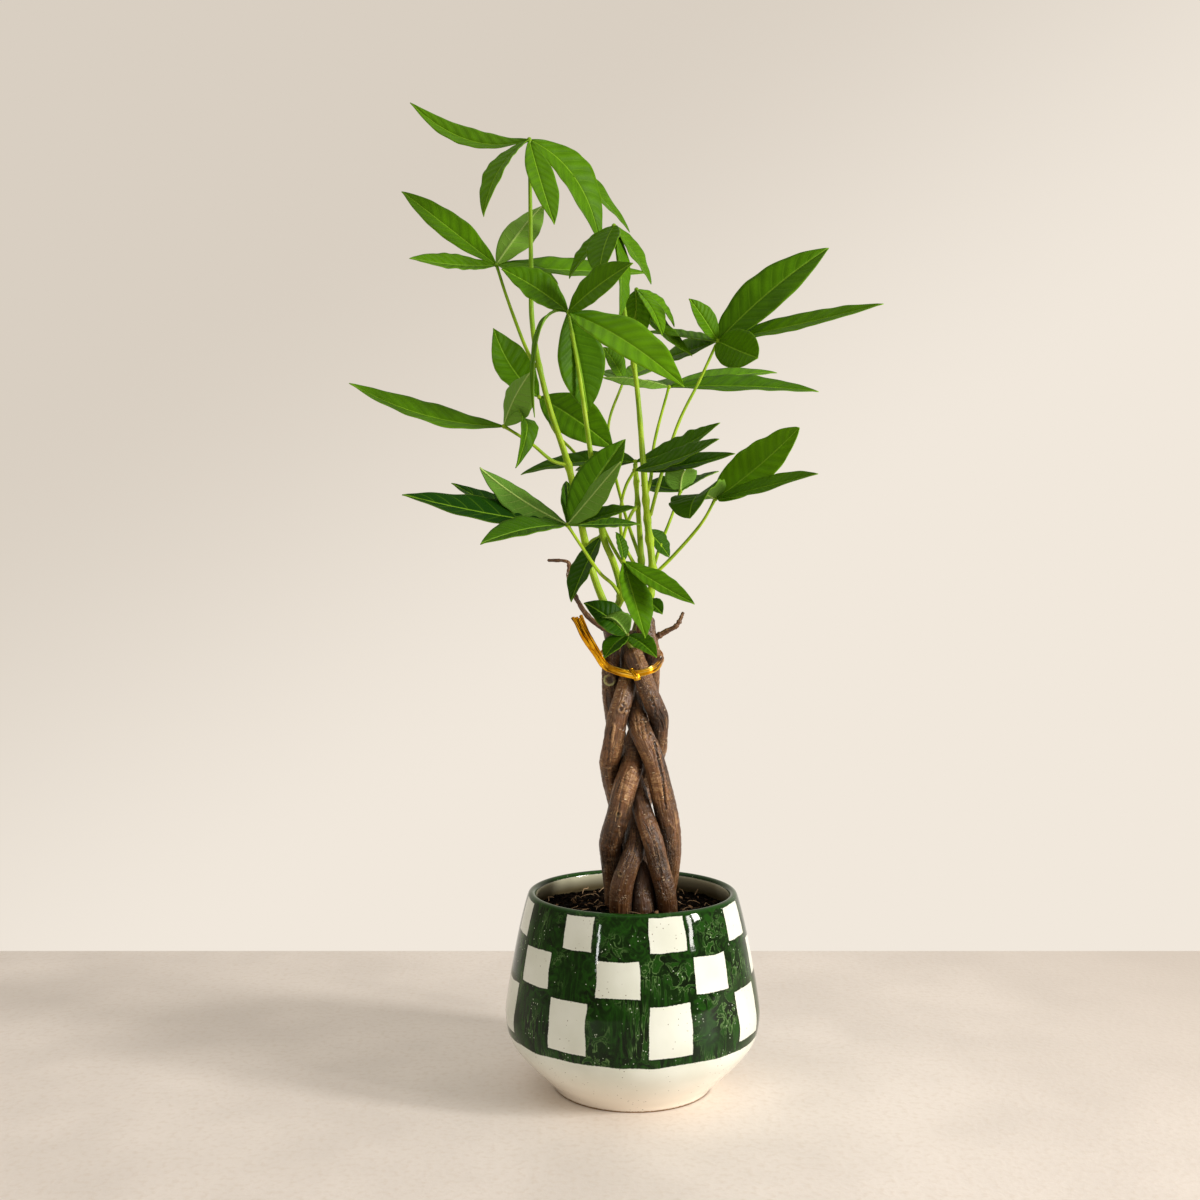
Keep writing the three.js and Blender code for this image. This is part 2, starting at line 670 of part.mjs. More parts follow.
for (const shoot of SHOOTS) {
  const trunk = trunks.find((candidate) => candidate.name === shoot.trunk);
  const [below, top] = trunk.points.slice(-2);
  const outward = top.clone().sub(below).normalize();
  const fromTop = (distance) => top.clone().addScaledVector(outward, distance);
  const socket = [fromTop(-SOCKET_DEPTH - GAP), fromTop(STEM_STRAIGHT)];
  trunk.wood = trunk.wood.subtract(tube(socket, SOCKET_SIDES, () => shoot.radii[0] + GAP));
  const inTrunk = [fromTop(-SOCKET_DEPTH), top, fromTop(STEM_STRAIGHT)];
  const route = [...inTrunk.map((point) => point.toArray()), ...shoot.stem];
  const stem = taperedTube(route, shoot.radii, SHOOT_SIDES, route.length * 2);
  const parts = [stem, ...shoot.leaves.flatMap(leafSolids)];
  place(shoot.name, geometryOf(wasm.Manifold.union(parts)), paint(0x4c8a1e, 0.45, 0));
}

for (const trunk of trunks) {
  place(trunk.name, geometryOf(trunk.wood), paint(0x7a5c45, 0.8, 0));
}
place("gold_tie", geometryOf(tieSolid()), paint(0xc08a1e, 0.3, 0.9));

export default group;
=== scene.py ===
# Potted money tree: five braided trunks and their leafy shoots, in a checked and glazed pot.
# Metres, +Z up, -Y faces the viewer. The origin is the centre of the pot's flat foot. The pieces' sizes are
# given in millimetres, and MM turns them into metres.
import bisect
import math
import random

import bpy
from mathutils import Euler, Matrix, Quaternion, Vector, kdtree, noise


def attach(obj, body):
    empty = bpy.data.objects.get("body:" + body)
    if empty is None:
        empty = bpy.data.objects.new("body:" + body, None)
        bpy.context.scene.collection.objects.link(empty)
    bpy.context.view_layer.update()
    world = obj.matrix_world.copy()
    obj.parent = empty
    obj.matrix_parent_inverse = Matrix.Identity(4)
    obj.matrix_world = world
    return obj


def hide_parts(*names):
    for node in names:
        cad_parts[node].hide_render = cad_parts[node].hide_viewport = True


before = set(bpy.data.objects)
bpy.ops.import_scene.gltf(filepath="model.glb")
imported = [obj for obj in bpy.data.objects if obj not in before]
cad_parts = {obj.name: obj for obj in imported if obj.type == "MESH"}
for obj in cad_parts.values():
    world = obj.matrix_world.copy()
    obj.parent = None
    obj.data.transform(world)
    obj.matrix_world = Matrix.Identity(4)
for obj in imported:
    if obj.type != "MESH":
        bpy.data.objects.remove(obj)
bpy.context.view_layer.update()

# Camera
# It looks level and straight ahead from about 77 cm, a little left of the pot's middle and at the height of
# the lower leaves. The lens is 39 mm on a 36 mm wide frame.
bpy.ops.object.select_all(action="DESELECT")
bpy.ops.object.camera_add(location=(-0.0193, -0.774, 0.287), rotation=(math.pi / 2, 0, 0))
camera = bpy.context.object
camera.data.lens = 39
camera.data.sensor_width = 36
bpy.context.scene.camera = camera

# Pot
# A thrown ceramic pot, painted by hand and glazed. It is widest low down, on a narrow flat foot, and closes
# in to a rounded lip. It is drawn as one line of radii and heights, from the foot over the lip and down to
# the floor inside, and spun round its axis.
MM = 0.001
POT_OUTSIDE = [
    (46.5, 0), (48, 2.5), (55.5, 10), (64.5, 19), (72.6, 30), (75.2, 43),
    (74, 56), (70.8, 75), (66.8, 95), (63.6, 108), (62.4, 112),
]
POT_RIM = [(61.5, 113.8), (59.8, 114.5), (58.1, 113.8)]
POT_INSIDE = [
    (57, 111.5), (58.2, 107), (61.4, 94), (65.4, 75), (68.6, 56), (69.6, 43), (66.5, 30), (57, 17), (42, 8),
]
POT_FLOOR = 7
POT_TURNS = 160
OUTSIDE_STEPS = 56
RIM_STEPS = 14
INSIDE_STEPS = 40
AT_AXIS = 1e-3


def curve_point(points, place):
    """A point on the smooth curve through points, where place counts the points passed."""
    i = min(int(place), len(points) - 2)
    p1, p2 = points[i], points[i + 1]
    p0 = points[i - 1] if i > 0 else 2 * p1 - p2
    p3 = points[i + 2] if i + 2 < len(points) else 2 * p2 - p1
    d0, d1, d2 = (math.sqrt((b - a).length) for a, b in ((p0, p1), (p1, p2), (p2, p3)))
    m1 = ((p1 - p0) / d0 - (p2 - p0) / (d0 + d1) + (p2 - p1) / d1) * d1
    m2 = ((p2 - p1) / d1 - (p3 - p1) / (d1 + d2) + (p3 - p2) / d2) * d1
    t = place - i
    start = p1 * (2 * t**3 - 3 * t**2 + 1) + m1 * (t**3 - 2 * t**2 + t)
    return start + p2 * (3 * t**2 - 2 * t**3) + m2 * (t**3 - t**2)


def spaced(points, steps, samples=200):
    """Evenly spaced points on the smooth curve through points."""
    points = [Vector(point) for point in points]
    spans = len(points) - 1
    fine = [curve_point(points, spans * k / samples) for k in range(samples + 1)]
    lengths = [0]
    for a, b in zip(fine, fine[1:]):
        lengths.append(lengths[-1] + (b - a).length)
    found = []
    for k in range(steps + 1):
        want = lengths[-1] * k / steps
        i = min(bisect.bisect_right(lengths, want) - 1, samples - 1)
        part = (want - lengths[i]) / (lengths[i + 1] - lengths[i])
        found.append(curve_point(points, spans * (i + part) / samples))
    return found


def pick_only(pieces):
    """Selects these pieces and no others, and makes the first one active."""
    bpy.ops.object.select_all(action="DESELECT")
    for piece in pieces:
        piece.select_set(True)
    bpy.context.view_layer.objects.active = pieces[0]


def clean_mesh(piece, within=1e-6):
    """Joins a shape's doubled points and turns its faces outwards."""
    pick_only([piece])
    bpy.ops.object.mode_set(mode="EDIT")
    bpy.ops.mesh.select_all(action="SELECT")
    bpy.ops.mesh.remove_doubles(threshold=within)
    bpy.ops.mesh.normals_make_consistent(inside=False)
    bpy.ops.object.mode_set(mode="OBJECT")
    bpy.ops.object.shade_smooth()


def thrown(name, profile, turns):
    """A round shape: a line of radii and heights is drawn point by point and spun round the upright axis."""
    bpy.ops.object.select_all(action="DESELECT")
    bpy.ops.mesh.primitive_plane_add(size=MM)
    piece = bpy.context.object
    piece.name = name
    bpy.ops.object.mode_set(mode="EDIT")
    bpy.ops.mesh.merge(type="CENTER")
    at = Vector((0, 0, 0))
    for radius, height in profile:
        step = Vector((radius * MM, 0, height * MM)) - at
        if at.length == 0:
            bpy.ops.transform.translate(value=step)
        else:
            bpy.ops.mesh.extrude_region_move(TRANSFORM_OT_translate={"value": step})
        at += step
    bpy.ops.mesh.select_all(action="SELECT")
    bpy.ops.mesh.spin(steps=turns, angle=2 * math.pi, center=(0, 0, 0), axis=(0, 0, 1))
    bpy.ops.object.mode_set(mode="OBJECT")
    clean_mesh(piece)
    return piece


def smooth_profile(points, steps):
    """Evenly spaced radii and heights on the smooth curve through a few."""
    return [(point.x, point.z) for point in spaced([(r, 0, z) for r, z in points], steps)]


pot_profile = [(AT_AXIS, 0), (20, 0), (40, 0), *smooth_profile(POT_OUTSIDE, OUTSIDE_STEPS)]
pot_profile += smooth_profile([POT_OUTSIDE[-1], *POT_RIM, POT_INSIDE[0]], RIM_STEPS)[1:-1]
pot_profile += [*smooth_profile(POT_INSIDE, INSIDE_STEPS), (20, POT_FLOOR), (AT_AXIS, POT_FLOOR)]
pot = thrown("glazed_pot", pot_profile, POT_TURNS)


def tone(code):
    """A colour from its code as seen on screen."""
    seen = [int(code[i:i + 2], 16) / 255 for i in (0, 2, 4)]
    return (*(c / 12.92 if c <= 0.04045 else ((c + 0.055) / 1.055) ** 2.4 for c in seen), 1.0)


class Signal:
    """A node's output, which takes part in sums as a number does."""

    def __init__(self, finish, socket):
        self.finish = finish
        self.socket = socket

    def math(self, operation, *others):
        """What a Math node makes of this output and some others."""
        values = dict(enumerate((self, *others)))
        return self.finish.node("ShaderNodeMath", {"operation": operation}, values)

    def beside(self, out):
        """Another output of the same node."""
        return Signal(self.finish, self.socket.node.outputs[out])

    def rise(self, low, high):
        """0 below low and 1 above high."""
        settings = {"interpolation_type": "SMOOTHSTEP"}
        values = {"Value": self, "From Min": low, "From Max": high}
        return self.finish.node("ShaderNodeMapRange", settings, values)

    def __add__(self, other):
        return self.math("ADD", other)

    def __sub__(self, other):
        return self.math("SUBTRACT", other)

    def __rsub__(self, other):
        return self.finish.node("ShaderNodeMath", {"operation": "SUBTRACT"}, {0: other, 1: self})

    def __mul__(self, other):
        return self.math("MULTIPLY", other)

    def __pow__(self, other):
        return self.math("POWER", other)

    def __abs__(self):
        return self.math("ABSOLUTE")

    __radd__ = __add__
    __rmul__ = __mul__


class Finish:
    """A material, made of one shader and the nodes that vary it."""

    def __init__(self, name):
        self.material = bpy.data.materials.new(name)
        self.material.use_nodes = True
        self.tree = self.material.node_tree
        self.tree.nodes.clear()

    def node(self, kind, settings=(), values=(), out=0):
        """Adds a node: its settings first, then the values or links of its sockets."""
        node = self.tree.nodes.new(kind)
        for name, setting in dict(settings).items():
            setattr(node, name, setting)
        for key, value in dict(values).items():
            if isinstance(value, Signal):
                self.tree.links.new(value.socket, node.inputs[key])
            else:
                node.inputs[key].default_value = value
        return Signal(self, node.outputs[out] if len(node.outputs) else None)

    def place(self):
        """Each point's place on the piece, in metres."""
        return self.node("ShaderNodeTexCoord", out="Object")

    def written(self, name, out="Fac"):
        """What the mesh says at each point under a name."""
        return self.node("ShaderNodeAttribute", {"attribute_name": name}, {}, out)

    def part(self, where, axis):
        return self.node("ShaderNodeSeparateXYZ", {}, {0: where}, axis)

    def cells(self, where, scale):
        return self.node("ShaderNodeTexVoronoi", {}, {"Vector": where, "Scale": scale})

    def noise(self, where, scale, detail, distortion=0.0):
        values = {"Vector": where, "Scale": scale, "Detail": detail, "Distortion": distortion}
        return self.node("ShaderNodeTexNoise", {}, values)

    def stretched(self, where, scale, shift=(0, 0, 0)):
        return self.node("ShaderNodeMapping", {}, {"Vector": where, "Scale": scale, "Location": shift})

    def mix(self, factor, one, two):
        """Blends two colours, each a code or a node's output."""
        one, two = (tone(colour) if isinstance(colour, str) else colour for colour in (one, two))
        return self.node("ShaderNodeMix", {"data_type": "RGBA"}, {0: factor, 6: one, 7: two}, 2)

    def layered(self, colour, *layers):
        """Lays colours over one another, each where and as strongly as its mask says."""
        for mask, code in layers:
            colour = self.mix(mask, colour, code)
        return colour

    def surface(self, colour, roughness, height, depth, specular=0.5, metallic=0.0):
        """The shader, with relief where height varies, as deep as depth in metres."""
        relief = self.node("ShaderNodeBump", {}, {"Height": height, "Distance": depth, "Strength": 1.0})
        values = {"Base Color": colour, "Roughness": roughness, "Normal": relief}
        values.update({"Specular IOR Level": specular, "Metallic": metallic})
        shader = self.node("ShaderNodeBsdfPrincipled", {}, values, "BSDF")
        self.node("ShaderNodeOutputMaterial", {}, {"Surface": shader})

    def cover(self, piece):
        piece.data.materials.append(self.material)


# Cream squares of the hand-painted check: each row's heights, and each square's turn and half its width in
# degrees, counted from the side that faces the viewer.
CHECK_ROWS = [
    (94.2, 112.2, [
        (-73.8, 7.6), (-28.7, 7.7), (16, 9.3), (62.2, 9), (106, 9), (151, 9.6), (-164, 9), (-119, 9.5),
    ]),
    (71, 90.3, [
        (-52.4, 9.8), (-8.2, 9.7), (37.8, 9.5), (82.8, 9.3), (128, 9), (173, 9.5), (-142, 9), (-97, 9.4),
    ]),
    (39.7, 67.4, [
        (-74.8, 9.5), (-30.6, 9.6), (15.1, 9.4), (60.7, 9.4), (105, 9.5), (150, 9), (-165, 9.5), (-120, 9),
    ]),
]
GREEN_ENDS_AT = 34.6
# How far the painted edges blur, and how wide the darker line round a square is: up and down in millimetres,
# and sideways in degrees.
BLUR, BLUR_TURN = 0.15, 0.12
OUTLINE, OUTLINE_TURN = 1.3, 1.1

glaze = Finish("checked_glaze")
where = glaze.place()
x = glaze.part(where, "X")
y = x.beside("Y")
z = x.beside("Z")
turn = x.math("ARCTAN2", 0 - y) * math.degrees(1)
radius = (x * x + y * y) ** 0.5
unrolled = glaze.node("ShaderNodeCombineXYZ", {}, {"X": turn * 0.0012, "Y": radius * 0.2, "Z": z})

hand = glaze.noise(where, 45, 1) - 0.5
hand_sideways = glaze.noise(glaze.stretched(where, (1, 1, 1), (3, 1, 2)), 45, 1) - 0.5
jag = glaze.noise(where, 900, 1) - 0.5
painted_z = z + hand * 0.0032 + jag * 0.0006
painted_turn = turn + hand_sideways * 3.4 + jag * 0.5

cream = None
edge = None
for low, high, squares in CHECK_ROWS:
    beyond = None
    for middle, half in squares:
        past_side = abs((painted_turn - middle).math("WRAP", 180, -180)) - half
        beyond = past_side if beyond is None else beyond.math("MINIMUM", past_side)
    upright = painted_z.rise((low - BLUR) * MM, (low + BLUR) * MM)
    upright = upright - painted_z.rise((high - BLUR) * MM, (high + BLUR) * MM)
    square = upright * (1 - beyond.rise(-BLUR_TURN, BLUR_TURN))
    around = painted_z.rise((low - OUTLINE) * MM, low * MM) - painted_z.rise(high * MM, (high + OUTLINE) * MM)
    around = around * (1 - beyond.rise(0, OUTLINE_TURN))
    cream = square if cream is None else cream + square
    edge = around if edge is None else edge + around

inner = (1 - radius.rise(0.0606, 0.0610)) * z.rise(0.090, 0.095)
inner = inner * (1 - (z + jag * 0.0004).rise(0.1122, 0.1127))
# A lighter green along the top of the lip, laid on below: a painted highlight.
lip = z.rise(0.1120, 0.1140) * (1 - inner)
green = (1 - cream) * painted_z.rise((GREEN_ENDS_AT - 0.2) * MM, (GREEN_ENDS_AT + 0.2) * MM) * (1 - inner)
clay = 1 - (z + jag * 0.0012).rise(0.0005, 0.0011)

cloud = glaze.noise(where, 60, 4, 0.4)
upright_strokes = glaze.noise(glaze.stretched(unrolled, (1, 1, 0.14)), 620, 3, 0.6)
round_strokes = glaze.noise(unrolled, 150, 3, 1.8)
stroke_choice = glaze.noise(where, 26, 0).rise(0.42, 0.58)
strokes = upright_strokes * stroke_choice + round_strokes * (1 - stroke_choice)
scratch = 1 - (abs(strokes - 0.52) * 26).rise(0.0, 1.0)
scratch = scratch * glaze.noise(where, 70, 1).rise(0.45, 0.7)
pale_dot = glaze.cells(where, 420)
pale_dot = (1 - pale_dot.rise(0.10, 0.16)) * glaze.noise(where, 130, 0).rise(0.5, 0.62)
deep = glaze.mix(cloud.rise(0.36, 0.66), "051401", "0c2703")
deep = glaze.layered(
    deep,
    (strokes.rise(0.38, 0.7) * 0.75, "1d4a0c"),
    (scratch * 0.5, "7aa060"),
    (pale_dot * 0.7, "d2e0c8"),
    (edge * 0.6, "041502"),
    # Painted highlight along the top of the lip.
    (lip * 0.7, "17420a"),
)

dark_dot = glaze.cells(where, 360)
dark_dot = (1 - dark_dot.rise(0.08, 0.13)) * glaze.noise(where, 90, 0).rise(0.42, 0.56)
light = glaze.mix(glaze.noise(where, 34, 3).rise(0.3, 0.7), "d4d8cb", "e0e4da")
light = glaze.mix((1 - z.rise(0.0, 0.038)) * 0.8, light, "fcefde")
light = glaze.mix(dark_dot * 0.85, light, "5f4a30")
colour = glaze.mix(green, light, deep)
# Inside the pot the glaze is painted darker towards the soil: painted shade.
colour = glaze.mix(inner, colour, glaze.mix(z.rise(0.1035, 0.1125), "554c35", "b4b299"))
colour = glaze.mix(clay, colour, "94703f")

orange_peel = glaze.noise(where, 55, 2) * 0.7 + glaze.noise(where, 320, 2) * 0.06 + green * 0.12
thrown_rings = glaze.noise(glaze.stretched(where, (0.1, 0.1, 1)), 130, 1) * 0.5
roughness = 0.03 + glaze.noise(where, 240, 2) * 0.04 + clay * 0.6 + scratch * green * 0.06
glaze.surface(colour, roughness, orange_peel + thrown_rings, 0.0003, specular=0.2)
glaze.cover(pot)
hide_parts("pot")
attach(pot, "root")

# Soil
# Dark potting soil fills the pot to a finger's breadth below the lip. It is spun like the pot, and its top is
# raised into lumps and crumbs.
SOIL_LEVEL = 104.0
SOIL_EDGE_LEVEL = 102.5
SOIL_EDGE = 58.6
SOIL_SIDE = [(AT_AXIS, 8.3), (40, 9.5), (55, 17), (64.5, 30), (67.6, 43), (66.6, 56), (63.4, 75), (59.4, 94)]
SOIL_STEPS = 60
SOIL_TURNS = 200


def soil_level(inward):
    """The soil's even level in millimetres, from 0 at its edge to 1 in the middle."""
    return SOIL_EDGE_LEVEL + (SOIL_LEVEL - SOIL_EDGE_LEVEL) * inward


def soil_rise(x, y):
    """Height of the soil's lumps and crumbs above its even level, in metres."""
    lumps = noise.noise(Vector((x, y, 0)) * 75) * 1.5
    crumbs = abs(noise.noise(Vector((x, y, 3)) * 260)) * 1.5
    grains = noise.noise(Vector((x, y, 7)) * 700) * 0.5
    return (lumps + crumbs + grains - 0.2) * MM


soil_profile = list(SOIL_SIDE)
for k in range(SOIL_STEPS + 1):
    inward = k / SOIL_STEPS
    soil_profile.append((max(SOIL_EDGE * (1 - inward), AT_AXIS), soil_level(inward)))
soil = thrown("potting_soil", soil_profile, SOIL_TURNS)
for vertex in soil.data.vertices:
    if vertex.co.z > (SOIL_EDGE_LEVEL - 0.01) * MM:
        vertex.co.z += soil_rise(vertex.co.x, vertex.co.y)

loam = Finish("dark_loam")
where = loam.place()
crumb = loam.cells(where, 650)
dust = loam.noise(where, 380, 4)
colour = loam.mix(dust.rise(0.4, 0.7), "040302", "140d08")
colour = loam.mix(loam.noise(where, 900, 1).rise(0.66, 0.74), colour, "4a382a")
loam.surface(colour, 0.95, crumb + dust * 1.5, 0.0008, specular=0.02)
loam.cover(soil)
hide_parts("soil")
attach(soil, "root")

# Bark chips and root threads
# Chips of bark and dry, pale root threads lie on the soil, half sunk in it, each at its own turn. One chip is
# modelled and copied, and each thread is a thin rolled tube.
CHIP_COUNT = 640
CHIP_LENGTHS = (0.8, 2.3)
CHIP_WIDEST = 1.7
CHIP_THICKNESSES = (0.4, 1.1)
CHIP_LEAN = 0.4
LARGE_CHIP_SHARE = 0.1
LARGE_CHIP_SCALE = 1.7
THREAD_COUNT = 80
THREAD_POINTS = 5
THREAD_REACHES = (1.2, 3.2)
THREAD_RADII = (0.14, 0.32)
THREAD_STEPS = 12
THREAD_SIDES = 6
SCATTER_RADIUS = 56.5
TRUNK_FEET = [(7.2, -9.5), (-7, -11), (19.3, -8.5), (-9, 5.5), (17.8, 6.8)]
FOOT_CLEAR = 7.6


def soil_place(chance):
    """A place on the soil's top that no trunk stands on."""
    while True:
        away = SCATTER_RADIUS * math.sqrt(chance.random())
        turn = chance.uniform(0, 2 * math.pi)
        x, y = away * math.cos(turn), away * math.sin(turn)
        if all(math.hypot(x - foot_x, y - foot_y) > FOOT_CLEAR for foot_x, foot_y in TRUNK_FEET):
            level = soil_level(1 - away / SOIL_EDGE)
            return Vector((x * MM, y * MM, level * MM + soil_rise(x * MM, y * MM)))


def copied(piece):
    """A copy of a piece, with a mesh of its own."""
    copy = piece.copy()
    copy.data = piece.data.copy()
    bpy.context.collection.objects.link(copy)
    return copy


def joined(pieces, name):
    """One piece made of many."""
    pick_only(pieces)
    bpy.ops.object.join()
    pieces[0].name = name
    return pieces[0]


def marked(piece, name, value):
    """Writes one number all over a piece, for its material to read."""
    shade = piece.data.attributes.new(name, "FLOAT", "POINT")
    for item in shade.data:
        item.value = value
    return piece


def carried_frames(points):
    """At each point of a line, two directions across it that are carried along without twist."""
    frames = []
    for i in range(len(points)):
        tangent = (points[min(i + 1, len(points) - 1)] - points[max(i - 1, 0)]).normalized()
        side = Vector((1, 0, 0))
        if i > 0:
            side = frames[-1][0].copy()
            side.rotate(before.rotation_difference(tangent))
        side = (side - tangent * side.dot(tangent)).normalized()
        frames.append((side, tangent.cross(side)))
        before = tangent
    return frames


def rolled_tube(name, centres, sides, radius_at, frames=None, flatness=1):
    """A sheet rolled into a tube round a line of centres, with its grain as it was before the line bent."""
    rings = len(centres) - 1
    bpy.ops.object.select_all(action="DESELECT")
    bpy.ops.mesh.primitive_grid_add(x_subdivisions=sides, y_subdivisions=rings, size=1)
    piece = bpy.context.object
    piece.name = name
    frames = frames or carried_frames(centres)
    along = [0]
    for a, b in zip(centres, centres[1:]):
        along.append(along[-1] + (b - a).length)
    grain = piece.data.attributes.new("grain", "FLOAT_VECTOR", "POINT")
    for vertex in piece.data.vertices:
        turn = 2 * math.pi * (vertex.co.x + 0.5)
        ring = round((vertex.co.y + 0.5) * rings)
        radius = radius_at(ring, turn) if 0 < ring < rings else 0
        out, up = math.cos(turn) * radius, math.sin(turn) * radius * flatness
        vertex.co = centres[ring] + frames[ring][0] * out + frames[ring][1] * up
        grain.data[vertex.index].vector = (out, up, along[ring])
    clean_mesh(piece, 1e-7)
    return piece


chance = random.Random(5)
bpy.ops.object.select_all(action="DESELECT")
bpy.ops.mesh.primitive_ico_sphere_add(subdivisions=1, radius=MM)
chip = bpy.context.object
chips = []
for _ in range(CHIP_COUNT):
    length = chance.uniform(*CHIP_LENGTHS) * (LARGE_CHIP_SCALE if chance.random() < LARGE_CHIP_SHARE else 1)
    size = (length, min(length, CHIP_WIDEST) * chance.uniform(0.5, 1), chance.uniform(*CHIP_THICKNESSES))
    lean = Euler((chance.gauss(0, CHIP_LEAN), chance.gauss(0, CHIP_LEAN), chance.uniform(0, 2 * math.pi)))
    place = soil_place(chance)
    bit = marked(copied(chip), "shade", chance.random())
    for vertex in bit.data.vertices:
        chipped = Vector([c * s * chance.uniform(0.75, 1.25) for c, s in zip(vertex.co, size)])
        chipped.rotate(lean)
        vertex.co = chipped + place
    chips.append(bit)
bpy.data.objects.remove(chip)
bark_chips = joined(chips, "bark_chips")

threads = []
for _ in range(THREAD_COUNT):
    start = soil_place(chance)
    heading = chance.uniform(0, 2 * math.pi)
    line = []
    for step in range(THREAD_POINTS):
        arch = math.sin(step / (THREAD_POINTS - 1) * math.pi)
        line.append(start + Vector((0, 0, MM * (0.3 + 0.9 * arch))))
        heading += chance.gauss(0, 0.5)
        reach = chance.uniform(*THREAD_REACHES) * MM
        start = start + Vector((math.cos(heading), math.sin(heading), 0)) * reach
        if start.xy.length > SCATTER_RADIUS * MM:
            start = start - Vector((math.cos(heading), math.sin(heading), 0)) * reach * 2
        start.z = SOIL_LEVEL * MM + soil_rise(start.x, start.y)
    thick = chance.uniform(*THREAD_RADII) * MM
    thread = rolled_tube("thread", spaced(line, THREAD_STEPS), THREAD_SIDES, lambda ring, turn: thick)
    threads.append(marked(thread, "shade", chance.random()))
root_threads = joined(threads, "root_threads")

litter = Finish("dry_litter")
shade = litter.written("shade")
where = litter.place()
fibre = litter.noise(litter.stretched(where, (1, 0.4, 1)), 1400, 3)
colour = litter.mix(shade.rise(0.3, 0.8), "050302", "24170e")
colour = litter.mix(shade.rise(0.82, 1.0), colour, "8d6f52")
colour = litter.mix(fibre.rise(0.45, 0.7) * 0.5, colour, "120c08")
litter.surface(colour, 0.85, fibre, 0.0003, specular=0.05)
litter.cover(bark_chips)

straw = Finish("pale_root")
shade = straw.written("shade")
where = straw.written("grain", "Vector")
fibre = straw.noise(where, 1800, 2)
colour = straw.mix(shade.rise(0.1, 0.9), "45321f", "a88c6c")
colour = straw.mix(fibre.rise(0.5, 0.7) * 0.5, colour, "463224")
straw.surface(colour, 0.8, fibre, 0.0002, specular=0.15)
straw.cover(root_threads)
for piece in (bark_chips, root_threads):
    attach(piece, "root")

# Trunks
# Five young trunks are plaited round each other from the soil up to the tie. Each is a sheet rolled round the
# trunk's line and raised into ridges, swellings and wrinkles, with cracks and scars where branches came off.
TRUNK_RINGS = 28
TRUNK_FINER = 3
TRUNK_GAP = 0.6
# Where two lines come too close they are pushed apart, mostly to the front and back, and then smoothed.
SPREAD_ROUNDS = 60
SPREAD_ALONG_X = 0.35
SPREAD_SMOOTHING = 0.3
ROUNDS_NOT_SMOOTHED = 6
TRUNK_RADIUS = 7.2
TRUNK_TAPER = 0.009
TRUNK_TAPER_FROM = 115
# How near a neighbour the bark starts to darken with painted shade.
CREVICE_SHADE_REACH = 6
BARK_SIDES = 96
BARK_RINGS = 340
BARK_SEED_STEP = 7.3
ROUNDED_TOP = 4
# Each trunk's thickness as a share of the usual one, and the points of its line, from inside the soil up.
TRUNKS = {
    "trunk_1": (0.95, [
        (8, -6, 74), (7.5, -9, 100), (6, -11, 115), (4.5, -6, 127), (0, 4, 139), (-6, 13, 152),
        (-8, 13, 165), (-10.4, 4, 178), (-11.4, -7, 190), (-11.6, -13, 203), (-9, -14, 216),
        (-5, -14, 229), (-1.5, -9, 241), (-1, 2, 253), (2, 8, 268),
    ]),
    "trunk_2": (0.93, [
        (-8, -7, 74), (-7, -10, 98), (-6.8, -12, 113), (-5, -13.5, 125), (-2, -12, 135), (1.5, -5, 146),
        (2, 3, 156), (6, 11, 168), (11, 13, 181), (14, 8, 194), (14.2, -5, 207), (13, -12, 220),
        (9, -15, 233), (3.5, -15, 245), (-1, -13, 259),
    ]),
    "trunk_3": (0.86, [
        (20, -5, 76), (19.5, -8, 103), (18.4, -11, 116), (15, -13, 128), (12, -13, 140), (8.7, -13, 152),
        (5.3, -11, 164), (1.5, -4, 175), (-3, 7, 188), (-8, 14, 200), (-10.5, 12, 212), (-12.3, 5, 225),
        (-12.5, -3, 240), (-11.5, -6, 256), (-11, -7, 275),
    ]),
    "trunk_4": (1.04, [
        (-9, 6, 74), (-9, 5.5, 104), (-10, 4, 118), (-10.8, -1, 131), (-10.4, -8, 143), (-9.6, -13, 156),
        (-7.8, -14, 167), (-3.8, -13, 179), (-0.5, -7, 192), (2, 3, 203), (7, 11, 215), (10.5, 13, 228),
        (9, 8, 240), (8, 1, 253), (6, -3, 265), (8, -3, 278),
    ]),
    "trunk_5": (1.02, [
        (14, 9, 74), (17.5, 7, 105), (19.3, 4, 118), (22, 0, 130), (22.4, -3, 143), (20.7, -6, 158),
        (17.3, -9, 173), (12.7, -12, 190), (8.7, -14, 203), (4.2, -12, 216), (0, -3, 230), (-4, 8, 244),
        (-8, 10, 258), (-11, 8.5, 268), (-14, 7, 277),
    ]),
}
# Cracks on the side that faces the viewer: the trunk, its line in x and z, and how deep it is.
CRACKS = [
    ("trunk_5", [(12.5, 204), (13.1, 201.5), (14.9, 192), (17.3, 183), (18.2, 173.5), (19.2, 165)], 0.8),
    ("trunk_5", [(1.6, 218.6), (3.2, 208.5)], 0.35),
    ("trunk_5", [(3.8, 219), (5.2, 207.5)], 0.35),
    ("trunk_5", [(6.2, 219.5), (8.6, 206)], 0.35),
    ("trunk_4", [(-4.5, 186), (-7.5, 172), (-9, 160)], 0.3),
    ("trunk_3", [(9.5, 158), (13, 143), (16.5, 127)], 0.35),
    ("trunk_1", [(-12.5, 214), (-14, 203), (-14.6, 194)], 0.4),
    ("trunk_1", [(-6, 227), (-4.6, 223), (-5.6, 220.2)], 0.5),
    ("trunk_1", [(-4.6, 223), (-1.6, 223.6)], 0.4),
    ("trunk_2", [(9.5, 231), (12.4, 226), (13, 219)], 0.4),
]
# The raised lip beside a crack is this share of the crack's depth.
CRACK_LIP = 0.4
CRACK_WIDTH = 0.5
CRACK_LIP_AWAY = 1.3
CRACK_LIP_WIDTH = 0.6
